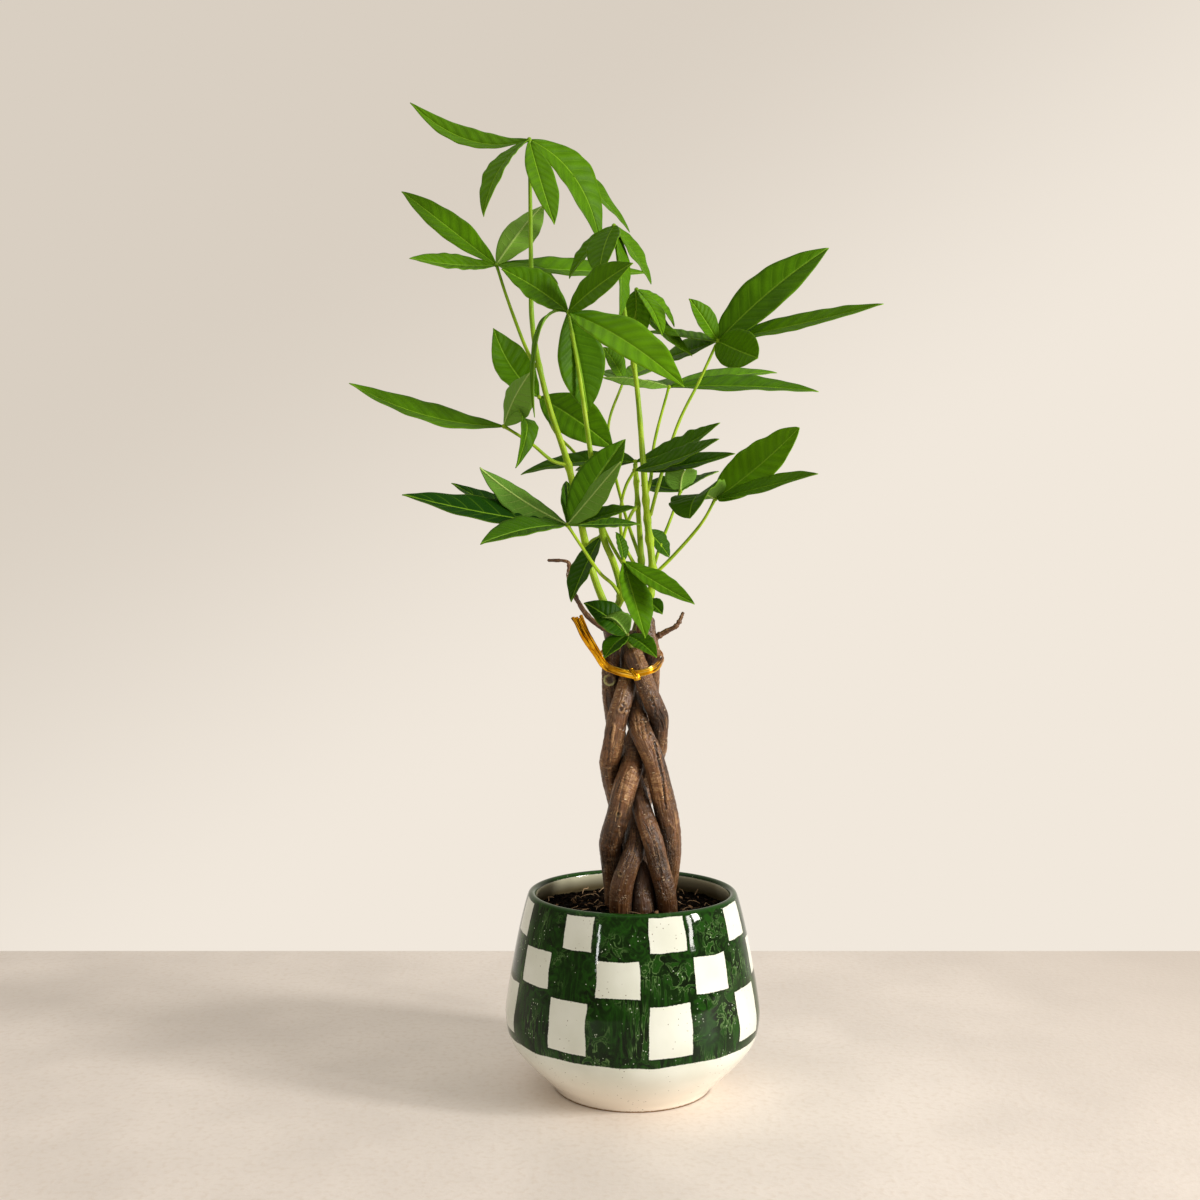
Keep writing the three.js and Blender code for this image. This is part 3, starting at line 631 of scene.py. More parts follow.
# Scars of branches on that side: the trunk, the middle in x and z, the radius of the swollen ring, and how
# much of the pale callus still shows on it.
SCARS = [
    ("trunk_3", -13.6, 239.8, 3.0, 1),
    ("trunk_1", -7.0, 223.9, 1.8, 0),
    ("trunk_4", -8.5, 163, 1.4, 0.1),
    ("trunk_5", 9.5, 209, 1.3, 0),
    ("trunk_2", -7.5, 128, 1.2, 0.1),
    ("trunk_2", 11.5, 226, 1.3, 0),
]
SCAR_RING = 0.5
SCAR_RING_WIDTH = 0.6
SCAR_HOLLOW = 0.7
CALLUS_WIDTH = 0.5
# Cracks and scars are made only where the bark leans no further away from the viewer than this.
FACES_VIEWER = 0.2


def trunk_radius(width, height):
    return width * (TRUNK_RADIUS - TRUNK_TAPER * max(height - TRUNK_TAPER_FROM, 0))


def push_pair(one, two, lines):
    """Moves two trunks' lines apart wherever they are closer than the trunks are thick."""
    for point in lines[one]:
        near = min(lines[two], key=lambda other: (other - point).length_squared)
        away = point - near
        lack = trunk_radius(TRUNKS[one][0], point.z) + trunk_radius(TRUNKS[two][0], near.z)
        lack += TRUNK_GAP - away.length
        if lack > 0:
            away = Vector((away.x * SPREAD_ALONG_X, away.y, 0)).normalized() * lack / 2
            point += away
            near -= away


def smoothed(line):
    """Moves each point of a line, apart from its ends, towards the middle of its two neighbours."""
    middles = [(before + after) / 2 for before, after in zip(line, line[2:])]
    inner = [point.lerp(middle, SPREAD_SMOOTHING) for point, middle in zip(line[1:], middles)]
    return [line[0], *inner, line[-1]]


trunk_lines = {name: spaced(route, TRUNK_RINGS * TRUNK_FINER) for name, (width, route) in TRUNKS.items()}
for k in range(SPREAD_ROUNDS):
    for one in TRUNKS:
        for two in TRUNKS:
            if one != two:
                push_pair(one, two, trunk_lines)
    if k < SPREAD_ROUNDS - ROUNDS_NOT_SMOOTHED:
        trunk_lines = {name: smoothed(line) for name, line in trunk_lines.items()}
trunk_lines = {name: line[::TRUNK_FINER] for name, line in trunk_lines.items()}


def segment_distance(x, z, line):
    """Distance in x and z from a place to a line of points."""
    nearest = 1e9
    for (x1, z1), (x2, z2) in zip(line, line[1:]):
        part = ((x - x1) * (x2 - x1) + (z - z1) * (z2 - z1)) / ((x2 - x1) ** 2 + (z2 - z1) ** 2)
        part = min(max(part, 0), 1)
        nearest = min(nearest, math.hypot(x - x1 - (x2 - x1) * part, z - z1 - (z2 - z1) * part))
    return nearest


def bark_rise(turn, along, radius, seed):
    """Height of the bark's ridges, swellings and wrinkles in millimetres."""
    across = Vector((math.cos(turn) * radius, math.sin(turn) * radius, 0))
    swelling = noise.noise(across * 0.09 + Vector((seed, 0, along * 0.035)))
    ridges = noise.noise(across * 0.5 + Vector((seed, 5, along * 0.06)))
    wrinkles = noise.noise(across * 0.14 + Vector((seed, 9, along * 0.55)))
    fine = noise.noise(across * 1.3 + Vector((seed, 2, along * 0.3)))
    return swelling * 0.65 + ridges * 0.26 + wrinkles * 0.2 + fine * 0.1 - 0.1


def bell(away, width):
    """1 where away is 0, and next to nothing from two widths away."""
    return math.exp(-(away / width) ** 2)


def bark_marks(name, x, y, z):
    """Height of a trunk's cracks and scars in millimetres, and how much pale callus there is."""
    height = 0
    pale = 0
    ragged = noise.noise(Vector((x, y, z)) * 0.9) * 0.7
    for trunk, line, depth in CRACKS:
        if trunk == name:
            away = segment_distance(x, z, line) + ragged
            lip = CRACK_LIP * depth * bell(away - CRACK_LIP_AWAY, CRACK_LIP_WIDTH)
            height += lip - depth * bell(away, CRACK_WIDTH)
    for trunk, middle_x, middle_z, size, callus in SCARS:
        if trunk == name:
            away = math.hypot(x - middle_x, z - middle_z) + ragged * 0.3
            ring = SCAR_RING * bell(away - size, SCAR_RING_WIDTH)
            height += ring - SCAR_HOLLOW * bell(away / size, 0.6)
            under = min(max((middle_z - z + middle_x - x) / size * 0.6 + 0.75, 0), 1)
            pale = max(pale, callus * under * bell(away - size, CALLUS_WIDTH))
    return height, pale


def rounded(part):
    """How full a rounded end is, from 0 at its tip to 1 where it starts."""
    return math.sqrt(1 - (1 - part) ** 2)


trunk_centres = {name: spaced(line, BARK_RINGS) for name, line in trunk_lines.items()}
trunk_pieces = {}
for number, (name, (width, route)) in enumerate(TRUNKS.items()):
    centres = trunk_centres[name]
    others = [(other, point) for other in TRUNKS if other != name for point in trunk_centres[other]]
    beside = kdtree.KDTree(len(others))
    for index, (other, point) in enumerate(others):
        beside.insert(point, index)
    beside.balance()
    length = sum((b - a).length for a, b in zip(centres, centres[1:]))
    seed = number * BARK_SEED_STEP

    def trunk_surface(ring, turn):
        along = length * ring / BARK_RINGS
        full = trunk_radius(width, centres[ring].z)
        end = min(length - along, ROUNDED_TOP) / ROUNDED_TOP
        return (full + bark_rise(turn, along, full, seed)) * rounded(end) * MM

    piece = rolled_tube(name + "_bark", [centre * MM for centre in centres], BARK_SIDES, trunk_surface)
    for mark in ("relief", "callus", "crevice_shade"):
        piece.data.attributes.new(mark, "FLOAT", "POINT")
    grain, relief, callus, crevice_shade = (
        piece.data.attributes[mark].data for mark in ("grain", "relief", "callus", "crevice_shade")
    )
    normals = [vertex.normal.copy() for vertex in piece.data.vertices]
    for vertex, normal in zip(piece.data.vertices, normals):
        x, y, z = vertex.co / MM
        gx, gy, gz = grain[vertex.index].vector / MM
        height, pale = bark_marks(name, x, y, z) if normal.y < FACES_VIEWER else (0, 0)
        rise = bark_rise(math.atan2(gy, gx), gz, trunk_radius(width, z), seed)
        vertex.co += normal * height * MM
        relief[vertex.index].value = rise + height
        callus[vertex.index].value = pale
        # How close the nearest other trunk is, for the painted shade between the trunks.
        point, index, away = beside.find((x, y, z))
        gap = away - trunk_radius(TRUNKS[others[index][0]][0], z)
        crevice_shade[vertex.index].value = min(max(1 - gap / CREVICE_SHADE_REACH, 0), 1)
    trunk_pieces[name] = piece

# Dry twigs that stayed on two of the trunks, as long and as thick as in life, with knobs where buds were.
TWIGS = {
    "trunk_3": ((1.9, 0.9), [
        (-12, -7, 268), (-19, -9, 271.5), (-26, -10, 277), (-31, -10, 284), (-35, -10, 292), (-38, -9, 301),
        (-38, -9, 309), (-50.5, -8, 310.5),
    ]),
    "trunk_4": ((2.2, 1.0), [(9, -3, 262), (14, -4, 265), (20, -5, 268.5), (26, -6, 272), (30, -6, 280)]),
}
TWIG_STEPS = 110
TWIG_SIDES = 18
TWIG_END = 0.02
for name, ((thick, thin), route) in TWIGS.items():
    centres = [point * MM for point in spaced(route, TWIG_STEPS)]

    def twig_surface(ring, turn):
        along = ring / TWIG_STEPS
        knob = max(0, noise.noise(Vector((along * 16, thick, 0)))) * 0.9
        ridge = noise.noise(Vector((math.cos(turn), math.sin(turn), along * 40))) * 0.22
        end = rounded(min((1 - along) / TWIG_END, 1))
        return (thick + (thin - thick) * along + knob + ridge - 0.1) * end * MM

    twig = rolled_tube(name + "_twig", centres, TWIG_SIDES, twig_surface)
    for mark, value in (("relief", -0.1), ("callus", 0), ("crevice_shade", 0)):
        marked(twig, mark, value)
    trunk_pieces[name] = joined([trunk_pieces[name], twig], name + "_bark")

bark = Finish("plaited_bark")
grain = bark.written("grain", "Vector")
relief = bark.written("relief")
callus = bark.written("callus")
crevice_shade = bark.written("crevice_shade")
where = bark.place()
height = bark.part(where, "Z")
long_fibres = bark.noise(bark.stretched(grain, (1, 1, 0.06)), 1300, 4)
streaks = bark.noise(bark.stretched(grain, (1, 1, 0.08)), 420, 3)
patches = bark.noise(bark.stretched(grain, (1, 1, 0.5)), 90, 3)
cross_lines = bark.noise(bark.stretched(grain, (0.2, 0.2, 1)), 1100, 3) * patches.rise(0.45, 0.6)
fissure = bark.noise(bark.stretched(grain, (1, 1, 0.07)), 240, 2, 0.4)
fissure = (1 - (abs(fissure - 0.5) * 45).rise(0, 1)) * bark.noise(grain, 75, 1).rise(0.5, 0.6)
pore = bark.cells(bark.stretched(grain, (0.5, 0.5, 1)), 360)
pore = (1 - pore.rise(0.10, 0.2)) * bark.noise(grain, 120, 0).rise(0.46, 0.6)
flake = bark.noise(bark.stretched(grain, (1, 1, 0.3)), 460, 4, 1.0)
curl = bark.noise(bark.stretched(grain, (1, 1, 0.6)), 330, 2, 1.8)
curl = (1 - (abs(curl - 0.5) * 26).rise(0, 1)) * bark.noise(grain, 85, 1).rise(0.48, 0.6)
colour = bark.mix(patches.rise(0.35, 0.65), "472910", "7a502c")
colour = bark.layered(
    colour,
    (streaks.rise(0.46, 0.7) * 0.25, "33200f"),
    (long_fibres.rise(0.5, 0.7) * 0.4, "a8804e"),
    (cross_lines.rise(0.5, 0.62) * 0.45, "c49a68"),
    # Painted shade in the bark's hollows, and a painted highlight on its ridges, both following the relief.
    ((1 - relief.rise(-0.6, 0.0)) * 0.8, "120903"),
    (relief.rise(0.1, 0.5) * 0.5, "bc9468"),
    # Pale flakes of bark, partly a painted highlight.
    (flake.rise(0.62, 0.7) * 0.45, "d2a877"),
    (fissure * 0.8, "150b04"),
    (curl * 0.5, "d2a877"),
    (pore * 0.7, "e2c8a2"),
    ((1 - height.rise(0.104, 0.165)) * 0.5, "3a200c"),
    # Painted shade where the bark comes close to a neighbouring trunk.
    ((crevice_shade ** 1.2) * 0.97, "070301"),
    (callus, "c8cf8a"),
)
ridged = long_fibres * 0.5 + streaks * 0.25 + pore * 0.4 + flake * 0.35 + cross_lines * 0.6
ridged = ridged + curl * 0.3 - fissure * 0.6
bark.surface(colour, 0.3 + patches * 0.2, ridged, 0.0013, specular=0.55)
for name, piece in trunk_pieces.items():
    bark.cover(piece)
    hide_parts(name)
    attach(piece, "root")

# Gold tie
# Flat ribbons of creased gold foil lie side by side in a tail with uneven ends and overlap where they go once
# round the trunk tops. One more ribbon is wound round them at the front and holds them.
TIE_TAIL = [(-33.5, -12, 278.5), (-28.5, -13, 267.5), (-22, -14, 257), (-16.5, -15, 249)]
TIE_LOOP = [
    (-8, -20.5, 245.5), (2, -23, 244.5), (10.5, -21.8, 246.5), (15.8, -12, 250), (18.2, 1, 253.5),
    (15, 11.5, 256), (5, 17, 257.5), (-7, 20.6, 257.5), (-17.3, 13.8, 255.5), (-19.2, -3, 252.5),
    (-16.2, -14, 248.5), (-8, -21.5, 245.2), (-2.5, -24, 244), (1.5, -25, 242.8), (2, -24.8, 240.4),
]
TIE_KNOT = [
    (-2.5, -22.4, 246.6), (-1.2, -24.8, 246.2), (1, -25.6, 243.4), (2.2, -23.4, 241.6), (1.6, -20.6, 243),
    (0.4, -20.4, 245.6), (-1, -23, 246.8), (0.6, -25.4, 245), (2.8, -25, 242.6), (3.6, -23.6, 240.2),
]
RIBBONS = 4
RIBBON_STEPS = 460
RIBBON_SAMPLES = 900
RIBBON_SIDES = 16
RIBBON_HALF = 1.25
KNOT_STEPS = 120
KNOT_HALF = 0.95
UNEVEN_TAIL = 12
UNEVEN_END = 10
TAIL_SHARE = 0.2
FOIL_FLATNESS = 0.14

chance = random.Random(8)
ribbons = []
for k in range(RIBBONS + 1):
    wound = k == RIBBONS
    steps, half = (KNOT_STEPS, KNOT_HALF) if wound else (RIBBON_STEPS, RIBBON_HALF)
    line = spaced(TIE_KNOT if wound else [*TIE_TAIL, *TIE_LOOP], steps, RIBBON_SAMPLES)
    first = 0 if wound else chance.randint(0, UNEVEN_TAIL)
    line = line[first:len(line) - chance.randint(0, UNEVEN_END)]
    centres, frames = [], []
    for i, centre in enumerate(line):
        along = i / steps
        tail = 0 if wound else max(0, 1 - along / TAIL_SHARE)
        facing = Vector((centre.x, centre.y, 0)).normalized() + Vector((0, -2 * tail, 0))
        tangent = (line[min(i + 1, len(line) - 1)] - line[max(i - 1, 0)]).normalized()
        across = tangent.cross(facing).normalized()
        facing = across.cross(tangent)
        if not wound:
            beside = k - (RIBBONS - 1) / 2 + 0.5 * noise.noise(Vector((along * 14, k * 3.7, 1)))
            beside *= 0.5 + 1.15 * tail
            before = 0.4 * (k % 2) + 0.15 * k - 0.4 + 0.25 * noise.noise(Vector((along * 22, k * 3.7, 5)))
            centre = centre + across * beside + facing * before
        lean = Quaternion(tangent, 0.5 * noise.noise(Vector((along * 20, k * 2.3, 3))))
        across.rotate(lean)
        facing.rotate(lean)
        centres.append(centre * MM)
        frames.append((across, facing))

    def foil_edge(ring, turn):
        along = ring / steps
        wave = noise.noise(Vector((along * 30, k, 7)))
        crease = noise.noise(Vector((along * 70, math.cos(turn) * 2, k + math.sin(turn))))
        return (half + 0.2 * wave + 0.12 * crease) * MM

    ribbons.append(rolled_tube("ribbon", centres, RIBBON_SIDES, foil_edge, frames, FOIL_FLATNESS))
tie = joined(ribbons, "foil_tie")

foil = Finish("gold_foil")
grain = foil.written("grain", "Vector")
crease = foil.noise(foil.stretched(grain, (1, 1, 0.06)), 620, 2, 0.3)
crumple = foil.noise(foil.stretched(grain, (1, 1, 0.6)), 200, 2, 0.6)
colour = foil.mix(crumple.rise(0.35, 0.65), "c88408", "f5b81e")
# Painted shade dark in the foil's creases, and painted highlights on its crests.
colour = foil.mix((1 - crease.rise(0.37, 0.47)) * 0.9, colour, "4e2c03")
colour = foil.mix(crease.rise(0.56, 0.64) * 0.8, colour, "ffe377")
foil.surface(colour, 0.26 + crumple * 0.12, crease, 0.0006, metallic=0.95)
foil.cover(tie)
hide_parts("gold_tie")
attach(tie, "root")

# Shoots
# Four long leafy shoots and a small sprout grow out of the trunk tops. The green stems and leaf stalks are
# rolled tubes, and one quilted blade with a folded midrib is modelled, copied and bent for every leaflet.

# Each shoot has its trunk, the stem's radius at root and tip, its route, and its leaves. A leaf is the route
# of its stalk, which ends at the hub, and its leaflets. A leaflet is its tip from the hub, its width, the
# arch of its midrib and its roll in degrees. Some also have the point from the hub that a bent midrib makes
# for, powers that make the blade rounder, or a tint of their own, or are turned with the underside up. A
# tint of their own paints light or shade: lower for leaflets that hang in shade, higher for those in light.
SHOOTS = {
    "shoot_left": ("trunk_5", (2.4, 1), [
        (-23.5, 2, 303), (-31, 0, 334.5), (-39, -2, 370), (-48.5, -4, 398.5), (-56, -6, 429),
        (-59.5, -6, 452.5), (-60, -6, 485), (-61, -6, 559.5),
    ], [
        ([(-61, -6, 544), (-61, -6, 559)], [
            ((-73, 18, 29), 17, 0, -30, {"via": (-37, 9, -8.5)}),
            ((-25, -26, -53), 18, 0, 15, {"via": (-21, -14, -17.5)}),
            ((16, -32, -59), 18, -1, -15),
            ((42, 26, -56), 28, 0, 45, {"via": (34, 14, -11)}),
            ((61, 62, -37), 20, 4, 45),
        ]),
        ([(-57, -6, 424), (-63, -1, 436), (-76, 9, 471), (-82, 14, 490)], [
            ((-59, 10, 48), 20, 0, -30),
            ((27, 36, 47), 20, 3, 20, {"turned": True}),
            ((-48, -32, -4), 18, -2, -25),
            ((94, 58, 10), 22, -1, 25),
            ((38, -20, -16), 18, 1, 10),
        ]),
        ([(-38, -2, 367), (-47, -6, 369), (-60, -12, 379), (-75, -18, 388)], [
            ((-85, -26, 21), 22, -7, -20),
            ((16, -12, 29), 28, 2, 40, {"turned": True}),
            ((8, -16, -26), 17, 0, -45, {"via": (23, -8, 16)}),
        ]),
        ([(-27, 1, 318), (-24, -6, 322), (-19, -14, 324)], [
            ((-17, -20, -38), 19, 1, 25),
        ]),
    ]),
    "shoot_front": ("trunk_3", (2.3, 0.9), [
        (-10, -10, 281.5), (-7, -17, 289.5), (-11.5, -27, 308.5), (-17, -31, 321.5), (-21, -38, 347.5),
        (-24, -41, 366), (-30.5, -47, 410), (-37, -52, 447),
    ], [
        ([(-35, -50, 434), (-37, -52, 447)], [
            ((-36, -12, 21), 21, 2, -45),
            ((35, -32, 19), 20, 2, 60),
            ((62, -40, -48), 27, 5, 20, {"tint": 0.85}),
            ((11, 18, -53), 28, 2, 60, {"tint": 0.35}),
            ((-18.5, -10, -60), 9, 0, 40, {"via": (-22, -11, 5)}),
        ]),
        ([(-7, -17, 289), (-12, -25, 296), (-19, -35, 302), (-29, -50, 316), (-37, -62, 328)], [
            # These leaflets hang in shade, and their tint of 0 paints it.
            ((-87, -24, 15), 22, -2, -20, {"tint": 0}),
            ((-67, 30, 26), 22, -4, 0, {"tint": 0}),
            ((-48, -4, 31), 19, -3, -25, {"turned": True, "tint": 0}),
            ((-44, -42, -12), 20, 3, -10),
            ((-1, 18, 26), 14, 1, 45),
            ((32, 22, 50), 22, 2, 15),
            ((29, -26, 32), 20, 0, 45, {"turned": True}),
            ((37, -14, 9), 14, 0, 15),
            ((40, 22, 2), 14, 0, 10),
        ]),
    ]),
    "shoot_right": ("trunk_4", (2.4, 0.9), [
        (9.5, -2.9, 287), (12, -2.2, 299), (8.5, -2, 338), (6, -3, 372.5), (2, -4, 417.5),
        (-4, -5, 452.5), (-11, -6, 508),
    ], [
        ([(-10, -6, 498), (-11, -6, 508)], [
            ((-9, -32, -38), 20, 3, 20),
            ((-27, 8, -29), 17, 2, -15),
            ((23, 18, -30), 18, 1, 35),
            ((3, -12, -57), 17, 3, -60),
        ]),
        ([(10, -2, 335), (18, 6, 364), (29, 12, 396), (41, 14, 420), (52, 14, 444)], [
            ((67, -2, 56), 27, 5, 40, {"powers": (0.75, 1), "tint": 0.42}),
            ((94, -30, 16), 17, -1, 25),
            ((-18, -12, 23), 14, 1, -60),
            ((-43, 30, 12), 16, 0, -5),
            ((-36, 42, -5), 22, 0, -35),
            ((21, -26, -15), 24, -2, 55, {"powers": (0.6, 0.6)}),
        ]),
        ([(7, -2, 346), (11, 8, 359), (14, 24, 383), (24, 44, 421)], [
            ((95, 4, -2), 22, 2, 15),
            ((75, 50, 18), 18, 2, 10),
            ((-6, 50, 12), 18, 1, -5),
            ((-42, -10, 4), 16, 2, -10, {"turned": True}),
        ]),
        ([(0, -4, 426), (1, 8, 446), (3, 18, 476)], [
            ((0, -6, -36), 18, 3, 10),
            ((15, -16, -31), 14, 3, -15),
            ((24, 12, -20), 14, 3, 25),
            ((34, 0, -40), 18, 0, 10, {"via": (7, 12, -19)}),
        ]),
        ([(13, -2, 302), (25, -3, 314), (41, -9, 333), (48, -14, 346)], [
            ((47, -14, 40), 27, -3, 40, {"powers": (0.6, 0.75), "tint": 0.85}),
            ((53, -42, 11), 18, 0, 20, {"tint": 0.5}),
            ((-17, -30, -13), 32, 8, 25, {"powers": (0.5, 0.6)}),
        ]),
        ([(12, -2, 305), (18, 14, 322), (25, 28, 339), (31, 40, 355)], [
            ((-24, 20, 6), 18, 1, -20),
            ((2, -14, 12), 20, 3, 0, {"powers": (0.6, 0.6)}),
            ((26, 22, 15), 14, 1, -15),
        ]),
        ([(10, -2, 323), (10, 4, 327), (9, 8, 329)], [
            ((14, 8, -16), 14, 1, 40),
        ]),
        ([(10.5, -2, 290), (9.5, -5, 288), (8, -8, 287)], [
            ((9, -10, -8), 10, 1, 15),
        ]),
    ]),
    "shoot_middle": ("trunk_1", (2.4, 1.2), [
        (6, 8, 287), (5.5, 6, 311), (3, 3, 347), (1.5, 2, 369),
    ], [
        ([(5, 6, 302), (-6, -4, 323), (-7, -12, 342), (-4, -14, 354), (1, -13, 363)], [
            ((45, -45, 13), 18, -3, 30),
            ((55, -35, 6), 16, -2, 25),
        ]),
        ([(3, 2, 357), (2, 6, 370)], [
            ((48, -26, 20), 19, -4, 25),
            ((-70, 16, -6), 18, 4, -15),
            ((-37, 40, -1), 18, 2, -30),
        ]),
        ([(5, 7, 311), (-6, 36, 349), (-14, 56, 397), (-4, 66, 429)], [
            ((-13, -8, 20), 16, 1, -40),
            ((-15, 32, 11), 16, 1, -5),
            ((28, 40, 19), 18, 1, 5),
        ]),
        ([(5, 8, 293), (-12, 14, 320), (-24, 22, 348), (-33, 28, 375), (-47, 32, 391), (-57, 34, 413)], [
            ((-28, -4, 42), 27, -7, -30),
            ((46, -18, -34), 28, 4, 40),
        ]),
        ([(3, 3, 344), (-2, -14, 335), (-6, -27, 321), (-6, -36, 309)], [
            ((39, -20, -24), 16, -1, 10, {"tint": 0.5}),
            ((12, -18, -43), 22, 0, -25, {"tint": 0.5}),
            ((-4, 4, 17), 9, 1, 30),
        ]),
    ]),
    "sprout": ("trunk_2", (1.6, 1.3), [
        (-2.5, -15.5, 264), (-3.5, -18.5, 266.5),
    ], [
        ([(-2, -14, 262), (-3.5, -18.5, 266.5)], [
            ((-25, -10, 19), 18, 3, -45),
            ((-13, -20, 11), 16, 4, 30),
            ((-13.5, -14, -12.5), 13, 2, 0),
            ((16.5, -16, -12), 13, 2, 10),
        ]),
    ]),
}
SOCKET_DEPTH = 6
STEM_STRAIGHT = 3
STEM_STEPS = 150
STEM_SAMPLES = 400
STEM_SIDES = 16
STALK_RADII = (1.15, 0.85)
STALK_STEPS = 40
STALK_SAMPLES = 160
STALK_SIDES = 12
KNOT_SWELLING = 0.35
KNOT_LENGTH = 2.6
HUB_RADIUS = 1.45
LEAF_UP = Vector((0, -0.35, 1)).normalized()
BLADE_POWERS = (1.05, 1.1)
BLADE_START = 1
BLADE_FOLD = 0.22
BLADE_ROWS = 60
BLADE_COLUMNS = 16
BLADE_THICKNESS = 0.45
# Between these heights the leaves go from darkest to brightest: painted shade on the lower leaves under the
# others, and the paler green of young leaves at the top.
DARKEST_LEAF_HEIGHT = 320
BRIGHTEST_LEAF_HEIGHT = 520
DARKEST_TINT = 0.2
BRIGHTEST_TINT = 0.7
TINT_SPREAD = 0.12
VEIN_PAIRS = 10
VEIN_SLANT = 0.13

bpy.ops.object.select_all(action="DESELECT")
bpy.ops.mesh.primitive_grid_add(x_subdivisions=BLADE_COLUMNS, y_subdivisions=BLADE_ROWS, size=1)
blade = bpy.context.object
for vertex in blade.data.vertices:
    across, along = 2 * vertex.co.x, vertex.co.y + 0.5
    across = math.copysign(abs(across) ** 1.3, across)
    passed = VEIN_PAIRS * (along - VEIN_SLANT * abs(across) ** 1.2)
    pillow = abs(math.sin(math.pi * passed)) ** 0.8 - 0.6
    beside_rib = bell(abs(across), 0.1)
    vertex.co = (across, along, pillow * (1 - beside_rib) * (1 - across**2))
bpy.ops.object.shade_smooth()


def blade_shape(along, powers):
    """The blade's width along the midrib, as a share of its widest."""
    root, tip = powers
    widest = root / (root + tip)
    return (along / widest) ** root * (max(1 - along, 0) / (1 - widest)) ** tip


def leaflet_piece(hub, leaflet, tint, chance):
    """A copy of the blade, bent along its midrib and moved to its hub."""
    tip, width, arch, roll, special = (*leaflet, {})[:5]
    ahead = Vector(tip).normalized()
    up = (LEAF_UP - ahead * LEAF_UP.dot(ahead)).normalized()
    up.rotate(Quaternion(ahead, math.radians(roll)))
    if special.get("turned"):
        up, arch = -up, -arch
    side = up.cross(ahead)

    def rib_point(along):
        """A point on the midrib, measured from the hub."""
        if "via" in special:
            return Vector(special["via"]) * (2 * along * (1 - along)) + Vector(tip) * along**2
        return Vector(tip) * along + up * (arch * 4 * along * (1 - along))

    start = BLADE_START / (2 * Vector(special["via"]).length if "via" in special else Vector(tip).length)
    rows = []
    for k in range(BLADE_ROWS + 1):
        along = start + (1 - start) * k / BLADE_ROWS
        half = width / 2 * blade_shape(along, special.get("powers", BLADE_POWERS)) + 0.5 - 0.3 * along
        rib = rib_point(min(along + 0.01, 1)) - rib_point(max(along - 0.01, 0))
        rows.append((rib_point(along), half, rib.normalized().cross(side).normalized()))
    waves = chance.uniform(5, 9)
    shift = [chance.uniform(0, 6), chance.uniform(0, 6)]
    piece = copied(blade)
    place = piece.data.attributes.new("blade", "FLOAT_VECTOR", "POINT")
    for vertex in piece.data.vertices:
        across, along, relief = vertex.co
        middle, half, face = rows[round(along * BLADE_ROWS)]
        edge = noise.noise(Vector((along * waves, shift[across > 0], 0)))
        out = half * across * (1 + 0.03 * edge * abs(across) ** 2)
        lift = abs(out) * BLADE_FOLD + relief * min(half * 0.035, 0.32)
        lift += half * 0.14 * edge * abs(across) ** 2
        lift -= 0.45 * bell(out, 0.7)
        vertex.co = (hub + middle - side * out + face * lift) * MM
        place.data[vertex.index].vector = (along, across, half)
    return marked(piece, "tint", special.get("tint", tint))


def tapered(centres, thick, thin, swellings):
    """A stem's or stalk's surface: it tapers, and swells where something grows out of it."""
    def radius_at(ring, turn):
        along = ring / (len(centres) - 1)
        knots = sum(KNOT_SWELLING * bell((centres[ring] - knot).length, KNOT_LENGTH) for knot in swellings)
        around = Vector((math.cos(turn) * 1.5, math.sin(turn) * 1.5, centres[ring].z * 0.09))
        return (thick + (thin - thick) * along) * (1 + knots + 0.1 * noise.noise(around)) * MM
    return radius_at


chance = random.Random(21)
shoots = []
for name, (trunk, radii, stem_route, leaves) in SHOOTS.items():
    below, top = trunk_lines[trunk][-2:]
    outward = (top - below).normalized()
    route = [top - outward * SOCKET_DEPTH, top, top + outward * STEM_STRAIGHT, *stem_route]
    centres = spaced(route, STEM_STEPS, STEM_SAMPLES)
    knots = [Vector(stalk[0]) for stalk, leaflets in leaves]
    surface = tapered(centres, *radii, knots)
    green = [rolled_tube("stem", [centre * MM for centre in centres], STEM_SIDES, surface)]
    blades = []
    for stalk, leaflets in leaves:
        centres = spaced(stalk, STALK_STEPS, STALK_SAMPLES)
        surface = tapered(centres, *STALK_RADII, [Vector(stalk[0]), Vector(stalk[-1])])
        green.append(rolled_tube("stalk", [centre * MM for centre in centres], STALK_SIDES, surface))
        bpy.ops.object.select_all(action="DESELECT")
        bpy.ops.mesh.primitive_ico_sphere_add(subdivisions=3, radius=HUB_RADIUS * MM)
        knob = bpy.context.object
        for vertex in knob.data.vertices:
            vertex.co = vertex.co * (1 + 0.1 * noise.noise(vertex.co * 900)) + Vector(stalk[-1]) * MM
        bpy.ops.object.shade_smooth()
        green.append(knob)
        # Lower leaves get a darker tint: painted shade, and the paler green of young leaves higher up.
        height_share = (stalk[-1][2] - DARKEST_LEAF_HEIGHT) / (BRIGHTEST_LEAF_HEIGHT - DARKEST_LEAF_HEIGHT)
        leaf_tint = min(max(height_share, DARKEST_TINT), BRIGHTEST_TINT) + chance.uniform(-TINT_SPREAD, TINT_SPREAD)
        for leaflet in leaflets:
            tint = leaf_tint + chance.uniform(-TINT_SPREAD, TINT_SPREAD)
            blades.append(leaflet_piece(Vector(stalk[-1]), leaflet, tint, chance))
    shoots.append((name, green, joined(blades, name + "_blades")))
bpy.data.objects.remove(blade)

